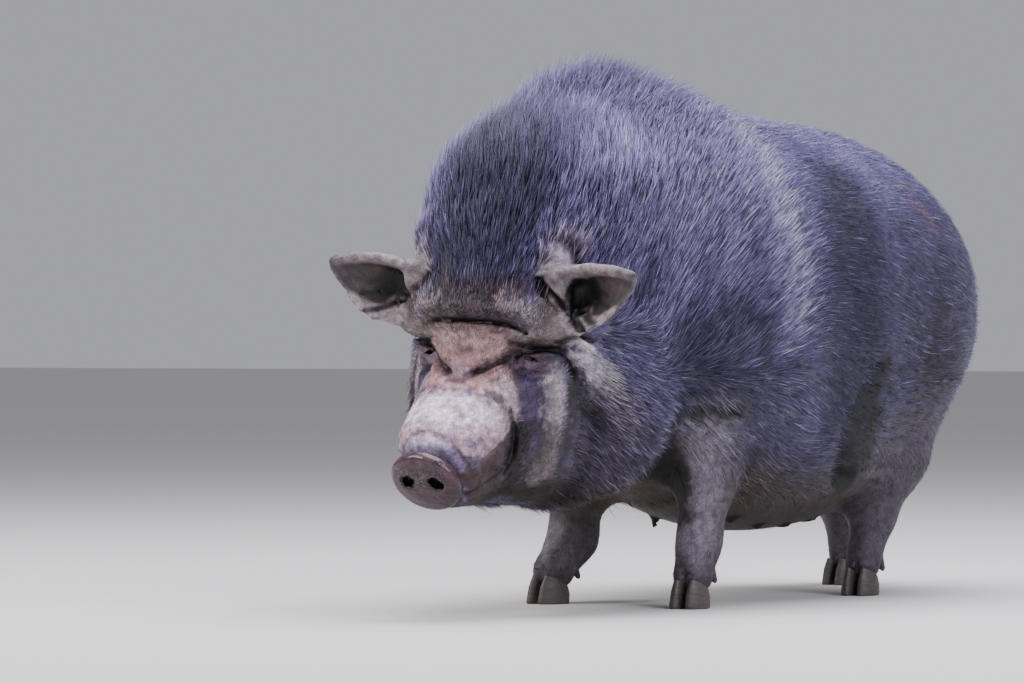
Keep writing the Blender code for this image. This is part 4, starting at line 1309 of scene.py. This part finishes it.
def add_claws(leg):
    """Two hooves and two dewclaws."""
    x, y, _ = LEGS[leg][0][-1]
    foot = Matrix.Translation((x, y, 0)) @ Matrix.Rotation(math.radians(FOOT_HEADING[leg]), 4, "Z")
    for side, side_name in ((1, "outer"), (-1, "inner")):
        outward = side if leg.endswith("left") else -side
        spot = foot @ Matrix.Translation((outward * (HOOF_WIDTH / 2 + GAP), HOOF_Y, 0))
        add_claw(f"claw_{leg}_{side_name}", hoof_rings(outward), spot, f"hoof_{leg}_{side_name}")
        turn = Euler((math.radians(DEWCLAW_TILT), math.radians(-DEWCLAW_SPLAY * outward), 0))
        spot = foot @ Matrix.Translation((outward * DEWCLAW_OUT, DEWCLAW_Y, DEWCLAW_Z)) @ turn.to_matrix().to_4x4()
        add_claw(f"spur_{leg}_{side_name}", dewclaw_rings(), spot, f"dewclaw_{leg}_{side_name}")


# ---- coat ----

FUR_COUNT, LOCK_COUNT, BRISTLE_COUNT = 222000, 58000, 1100
ROOT_DEPTH = 0.0012
# Each hair's own shade, how dark the black ones are, and how dark or pale it is at its root and tip. The dark root
# is painted shade deep in the coat.
SHADE_SPREAD, BLACK_SHADE = 0.52, 0.3
ROOT, TIP, PALE_TIP, MOST_TIP = 0.25, 1.2, 2.8, 0.6
LEG_LIE, TAIL_LIE = np.array((0.0, 0.12, -1.0)), np.array((0.0, 0.05, -1.0))
JOWL_LIE, FACE_LIE = unit(np.array((0.1, 0.9, -0.5))), unit(np.array((0.0, 0.55, 0.8)))
# Each piece of the coat covers a stretch of her length, on one side.
REGIONS = {
    "head": (-1.0, HEAD_BACK), "neck": (HEAD_BACK, -0.14), "barrel_front": (-0.14, 0.05),
    "barrel_back": (0.05, 0.22), "rump": (0.22, 1.0),
}
MOST_TRIANGLES = 190000
# The coat is unwrapped round a level axis through the barrel, and each hair has a small patch of its own.
AXIS_HEIGHT, UNWRAP_PATCH = 0.3, 0.003


def ear_share(points):
    """1 on the ears beyond their roots."""
    along, across, out = in_ear(in_half_head(points))
    close = ramp(0.024, 0.016, np.abs(out - 0.005))
    leaf = ramp(0.015, 0.028, along) * close * ramp(0.012, 0.006, ear_edge(along, across))
    return np.maximum(leaf, ramp(0.004, 0.002, ear_rolls(along, across, out)))


def lie_of(points):
    """The way the coat lies, before it is laid along the skin."""
    x, y, z = points.T
    nought, one = np.zeros(len(points)), np.ones(len(points))
    body = np.column_stack((nought, one, -0.25 + 0.3 * ripple(points, 0.09, 21)))
    neck = np.column_stack((0.1 * ripple(points, 0.05, 22), 0.15 + 1.3 * ramp(-0.42, -0.08, y), one))
    found = mixed(unit(body), unit(neck), ramp(0.02, -0.12, y) * ramp(0.22, 0.3, z))
    on_leg = ramp(0.2, 0.12, z) * ramp(0.04, 0.06, np.abs(x)) * (1 - 0.8 * belly_side(points))
    found = mixed(found, LEG_LIE, on_leg)
    side, back, up = in_head(points).T
    found = mixed(found, HEAD_AXES @ JOWL_LIE, ramp(0.1, 0.04, back) * ramp(0.0, -0.05, up))
    on_face = ramp(0.0, -0.05, back) * ramp(0.11, 0.08, np.abs(side))
    found = mixed(found, HEAD_AXES @ FACE_LIE, on_face)
    off_tail = ramp(0.45, 0.4, y) + ramp(0.36, 0.41, z)
    found = mixed(found, TAIL_LIE, np.clip(1 - off_tail, 0, 1))
    outward = (EAR_AXES @ (1.0, -0.15, 0.0)) * np.column_stack((np.sign(side), one, one))
    return mixed(found, outward @ HEAD_AXES.T, ear_share(points))


def spikes(name, roots, normals, lie, length, width, lift, root_colour, tip_colour, bent):
    """One closed three-sided spike on each root. A bent one has a joint halfway and droops towards the lie."""
    side = unit(np.cross(lie, normals))
    first = unit(lie * np.cos(lift)[:, None] + normals * np.sin(lift)[:, None])
    steps = [roots - normals * ROOT_DEPTH]
    if bent:
        second = unit(first + 0.55 * lie - 0.25 * normals * np.sin(lift)[:, None])
        steps.append(steps[0] + first * length[:, None] * 0.5)
        steps.append(steps[1] + second * length[:, None] * 0.5)
    else:
        steps.append(steps[0] + first * length[:, None])
    ridge = unit(np.cross(side, first))
    rows = []
    for step, wide in zip(steps[:-1], (0.5, 0.4)):
        wide = width[:, None] * wide
        rows += [step + side * wide, step - side * wide, step + ridge * wide * 0.9]
    rows.append(steps[-1])
    rings, each = len(steps) - 1, len(rows)
    tip = each - 1
    pattern = [(0, 1, 2)]
    for i, j in ((0, 1), (1, 2), (2, 0)):
        if bent:
            pattern += [(j, i, 3 + i), (j, 3 + i, 3 + j)]
        pattern.append((tip - 3 + j, tip - 3 + i, tip))
    triangles = (np.array(pattern)[None] + (np.arange(len(roots)) * each)[:, None, None]).reshape(-1, 3)
    mesh = mesh_of_triangles(name, np.stack(rows, axis=1).reshape(-1, 3), triangles)
    share = np.array([0.0] * 3 + [0.5] * 3 * (rings - 1) + [1.0])
    colours = root_colour[:, None] * (1 - share)[None, :, None] + tip_colour[:, None] * share[None, :, None]
    paint(mesh, "Markings", colours.reshape(-1, 3))
    across = np.array([-1.0, 1.0, 0.0] * rings + [0.0])
    spots = unwrapped(roots)[:, None] + np.stack((across / 2, share - 0.5), -1)[None] * UNWRAP_PATCH
    layer = mesh.uv_layers.new(name="OFBake")
    layer.data.foreach_set("uv", spots.reshape(-1, 2)[triangles.ravel()].astype(np.float32).ravel())
    add(name, mesh, COAT)


def unwrapped(points):
    """Where each spike's patch lies on the unwrap: its angle round the body and its place along it, from 0 to 1."""
    x, y, z = points.T
    angle = np.arctan2(x, z - AXIS_HEIGHT) / math.tau + 0.5
    spread = (y - y.min()) / max(np.ptp(y), 1e-6)
    return np.column_stack((0.01 + 0.98 * angle, 0.01 + 0.98 * spread))


class Pelt:
    """Places to root hair on the skin, with their normals."""

    def __init__(self, places, normals, corners):
        self.places, self.normals, self.corners = places, normals, corners
        a, b, c = (places[corners[:, i]] for i in range(3))
        self.areas = np.linalg.norm(np.cross(b - a, c - a), axis=1) / 2
        self.middles = (a + b + c) / 3

    def draw(self, count, density):
        weight = self.areas * density
        chosen = np.searchsorted(np.cumsum(weight) / weight.sum(), chance.random(count))
        chosen = np.minimum(chosen, len(weight) - 1)
        u, v = chance.random(count), chance.random(count)
        over = u + v > 1
        u[over], v[over] = 1 - u[over], 1 - v[over]
        mix = np.column_stack((1 - u - v, u, v))[:, :, None]
        tri = self.corners[chosen]
        return (self.places[tri] * mix).sum(1), unit((self.normals[tri] * mix).sum(1))


def bare_share(points):
    """1 where no hair grows: snout disc, eyes and soles."""
    folded = in_half_head(points)
    bare = ramp(0.006, 0.002, disc(folded))
    bare = np.maximum(bare, ramp(0.021, 0.018, np.linalg.norm(folded - EYE_AT, axis=1)))
    return np.maximum(bare, ramp(0.024, 0.018, points[:, 2]))


def grow(kind, pelt, count, density, shape, bent, colours=markings):
    """Roots this many hairs where density says and makes one piece of each region and side."""
    roots, normals = pelt.draw(count, density(pelt.middles))
    jitter = chance.normal(size=roots.shape)
    length, width, lift, ruffle = shape(roots)
    lie = unit(lie_of(roots)) + ruffle[:, None] * jitter
    lie = unit(lie - normals * (lie * normals).sum(1)[:, None])
    shade = np.exp(SHADE_SPREAD * chance.normal(size=len(roots)))
    smooth = np.maximum(ear_share(roots), ear_front_share(roots))
    face = face_share(roots) * (1 - smooth)
    dark = np.maximum.reduce((mane_share(roots), crest_share(roots), brow_share(roots)))
    pale = chance.random(len(roots)) < (0.14 + 0.14 * face - 0.1 * dark) * (1 - smooth)
    black = chance.random(len(roots)) < 0.45 * face
    colour = dimmed(colours(roots), np.where(black, BLACK_SHADE, shade))
    tip = np.clip(dimmed(colour, np.where(pale, PALE_TIP, TIP)), 0, MOST_TIP)
    hairs = (roots, normals, lie, length, width, lift, colour * ROOT, tip)
    triangles = 10 if bent else 4
    for region, (first, last) in REGIONS.items():
        inside = (roots[:, 1] >= first) & (roots[:, 1] < last)
        for side_name, sign in (("left", 1), ("right", -1)):
            numbers = np.nonzero(inside & (roots[:, 0] * sign >= 0))[0]
            if not len(numbers):
                continue
            parts = -(-len(numbers) * triangles // MOST_TRIANGLES)
            for part, own in enumerate(np.array_split(numbers, parts)):
                suffix = f"_{part + 1}" if parts > 1 else ""
                spikes(f"{kind}_{region}_{side_name}{suffix}", *(values[own] for values in hairs), bent)


def brow_share(points):
    """1 on the brow, where short hair runs up into the mane."""
    _, y, z = in_head(points).T
    return ramp(-0.03, -0.022, z) * ramp(0.03, 0.01, z) * ramp(-0.02, -0.06, y)


def fur_density(points):
    """Short fur, everywhere but the bare places."""
    thick = 1.0 + 0.2 * jowl_share(points)
    thick += 1.3 * face_share(points) + 0.9 * low_share(points)
    thick += 0.6 * ramp(-0.36, -0.45, points[:, 1]) + 1.5 * brow_share(points)
    bare = np.maximum(bare_share(points), teat_share(points))
    return thick * (1 - bare) * (1 - 0.95 * crease_share(points))


def fur_shape(points):
    """Each hair's length, width, lift off the skin and ruffling."""
    count = len(points)
    face, low, ear, front = (share(points) for share in (face_share, low_share, ear_share, ear_front_share))
    _, back, up = in_head(points).T
    muzzle = ramp(-0.07, -0.12, back) * ramp(-0.04, -0.08, up)
    length = 0.017 - 0.009 * np.maximum.reduce((face, ear, front)) - 0.007 * low - 0.004 * jowl_share(points)
    length = np.maximum(length, 0.006) - 0.003 * muzzle
    length = length - 0.0025 * ear - 0.003 * ramp(0.16, 0.11, points[:, 2]) * low
    over = np.maximum(*(crease_share(points + rise * HEAD_AXES[:, 2]) for rise in (0.003, 0.006)))
    length = length * (1 - 0.65 * over) * (1 - 0.5 * front) * (1 - 0.3 * fold_side(points))
    lift = (10 + 10 * brow_share(points) + 4 * face) * (1 - 0.6 * front) + 5 * chance.normal(size=count)
    length = length * chance.uniform(0.7, 1.25, count)
    width = (0.00082 + 0.00015 * face) * chance.uniform(0.8, 1.2, count)
    return length, width, np.radians(lift), 0.08 + 0.08 * face


def bristle_density(points):
    """The snout disc's fine white bristles, above and between the nostrils."""
    folded = in_half_head(points)
    x, y, z = in_disc(folded).T
    front = ramp(-0.001, -0.004, y) * ramp(0.03, 0.024, x)
    return front * ramp(-0.004, 0.004, z) * ramp(0.024, 0.014, z) * (nostril(folded) > 0.0005)


def bristle_shape(points):
    count = len(points)
    lift = np.radians(45 + 12 * chance.normal(size=count))
    return chance.uniform(0.0025, 0.0045, count), chance.uniform(0.00035, 0.0005, count), lift, np.full(count, 0.3)


def bristle_colours(points):
    return np.tile(BRISTLE, (len(points), 1))


def lock_density(points):
    """Longer hair over neck, shoulders, back and flanks."""
    y, z = points[:, 1], points[:, 2]
    upper = ramp(0.12, 0.28, z + 0.14 * ramp(-0.3, -0.36, y) + 0.12 * belly_side(points))
    thick = 0.55 + 0.9 * ramp(0.0, -0.15, y)
    for share, more in ((crest_share, 1.4), (mane_share, 2.0), (jowl_share, 0.8)):
        thick = thick + more * share(points)
    for share, less in ((face_share, 1), (ear_share, 1), (ear_front_share, 1), (low_share, 0.8), (fold_side, 0.8)):
        thick = thick * (1 - less * share(points))
    return thick * upper


def lock_shape(points):
    """Each long hair's length, width, lift off the skin and ruffling."""
    count = len(points)
    _, back, up = in_head(points).T
    crest, jowl = crest_share(points), jowl_share(points)
    neck = ramp(0.0, -0.2, points[:, 1])
    mane = mane_share(points) * (1 - crest)
    upright = ramp(0.07, 0.12, up) * ramp(0.12, 0.06, back)
    length = 0.024 + 0.008 * neck + 0.018 * crest - 0.009 * mane * (1 - upright) - 0.013 * jowl + 0.004 * upright
    lift = 9 + 6 * neck + 34 * crest + 20 * mane + 8 * jowl + 6 * upright + 6 * chance.normal(size=count)
    length = length * chance.uniform(0.7, 1.2, count)
    width = (0.0009 + 0.0001 * np.maximum(crest, upright)) * chance.uniform(0.8, 1.2, count)
    return length, width, np.radians(lift), 0.09 + 0.08 * crest + 0.05 * jowl


# ---- stage ----

FLOOR_HALF = 40.0
# Place, aim, size, power and colour.
LIGHTS = {
    "key": ((-1.6, -3.0, 2.6), (0.0, -0.1, 0.3), 2.2, 150, (1.0, 0.96, 0.92)),
    "side": ((3.4, -1.0, 2.4), (0.0, 0.0, 0.3), 2.4, 110, (0.88, 0.9, 1.0)),
    "top": ((0.1, 0.4, 3.2), (0.0, 0.1, 0.4), 3.0, 200, (0.92, 0.88, 1.0)),
}
# The camera's azimuth is measured from straight ahead of her towards her left.
CAMERA_AZIMUTH, CAMERA_HEIGHT, CAMERA_DISTANCE, CAMERA_ASIDE = 35.0, 0.29, 6.0, -0.227
CAMERA_LENS = 186.9


def add_stage():
    """A pale floor and soft light from all round."""
    made, _, shader = new_material("floor")
    set_inputs(shader, Base_Color=(0.62, 0.61, 0.59, 1), Roughness=0.9)
    mesh = bpy.data.meshes.new("floor")
    half = FLOOR_HALF
    mesh.from_pydata([(-half, -half, 0), (half, -half, 0), (half, half, 0), (-half, half, 0)], [], [(0, 1, 2, 3)])
    floor = bpy.data.objects.new("floor", mesh)
    mesh.materials.append(made)
    bpy.context.scene.collection.objects.link(floor)
    world = bpy.data.worlds.new("studio")
    world.use_nodes = True
    set_inputs(world.node_tree.nodes["Background"], Color=(0.86, 0.86, 0.95, 1), Strength=0.48)
    bpy.context.scene.world = world


def place_thing(name, data, place, back):
    """An object in the scene that looks away from the way back."""
    made = bpy.data.objects.new(name, data)
    made.location = place
    made.rotation_mode = "QUATERNION"
    made.rotation_quaternion = back.to_track_quat("Z", "Y")
    bpy.context.scene.collection.objects.link(made)
    return made


def add_light(name, place, aim, size, power, colour):
    light = bpy.data.lights.new(name, "AREA")
    light.shape = "DISK"
    light.size = size
    light.energy = power
    light.color = colour
    place_thing(name, light, place, Vector(place) - Vector(aim))


def add_camera():
    turn = math.radians(CAMERA_AZIMUTH)
    right = Vector((math.cos(turn), math.sin(turn), 0))
    back = Vector((math.sin(turn), -math.cos(turn), 0))
    camera = bpy.data.cameras.new("camera")
    camera.lens = CAMERA_LENS
    place = STANDS_AT + right * CAMERA_ASIDE + back * CAMERA_DISTANCE + Vector((0, 0, CAMERA_HEIGHT))
    bpy.context.scene.camera = place_thing("camera", camera, place, back)


add_camera()
add_stage()
for light_name, light_values in LIGHTS.items():
    add_light(light_name, *light_values)

pelt = Pelt(*add_skin())
for eye_side, eye_name in ((1, "left"), (-1, "right")):
    add_eye(eye_name, eye_side)
for leg_name in LEGS:
    add_claws(leg_name)
grow("fur", pelt, FUR_COUNT, fur_density, fur_shape, False)
grow("lock", pelt, LOCK_COUNT, lock_density, lock_shape, True)
grow("bristle", pelt, BRISTLE_COUNT, bristle_density, bristle_shape, False, bristle_colours)
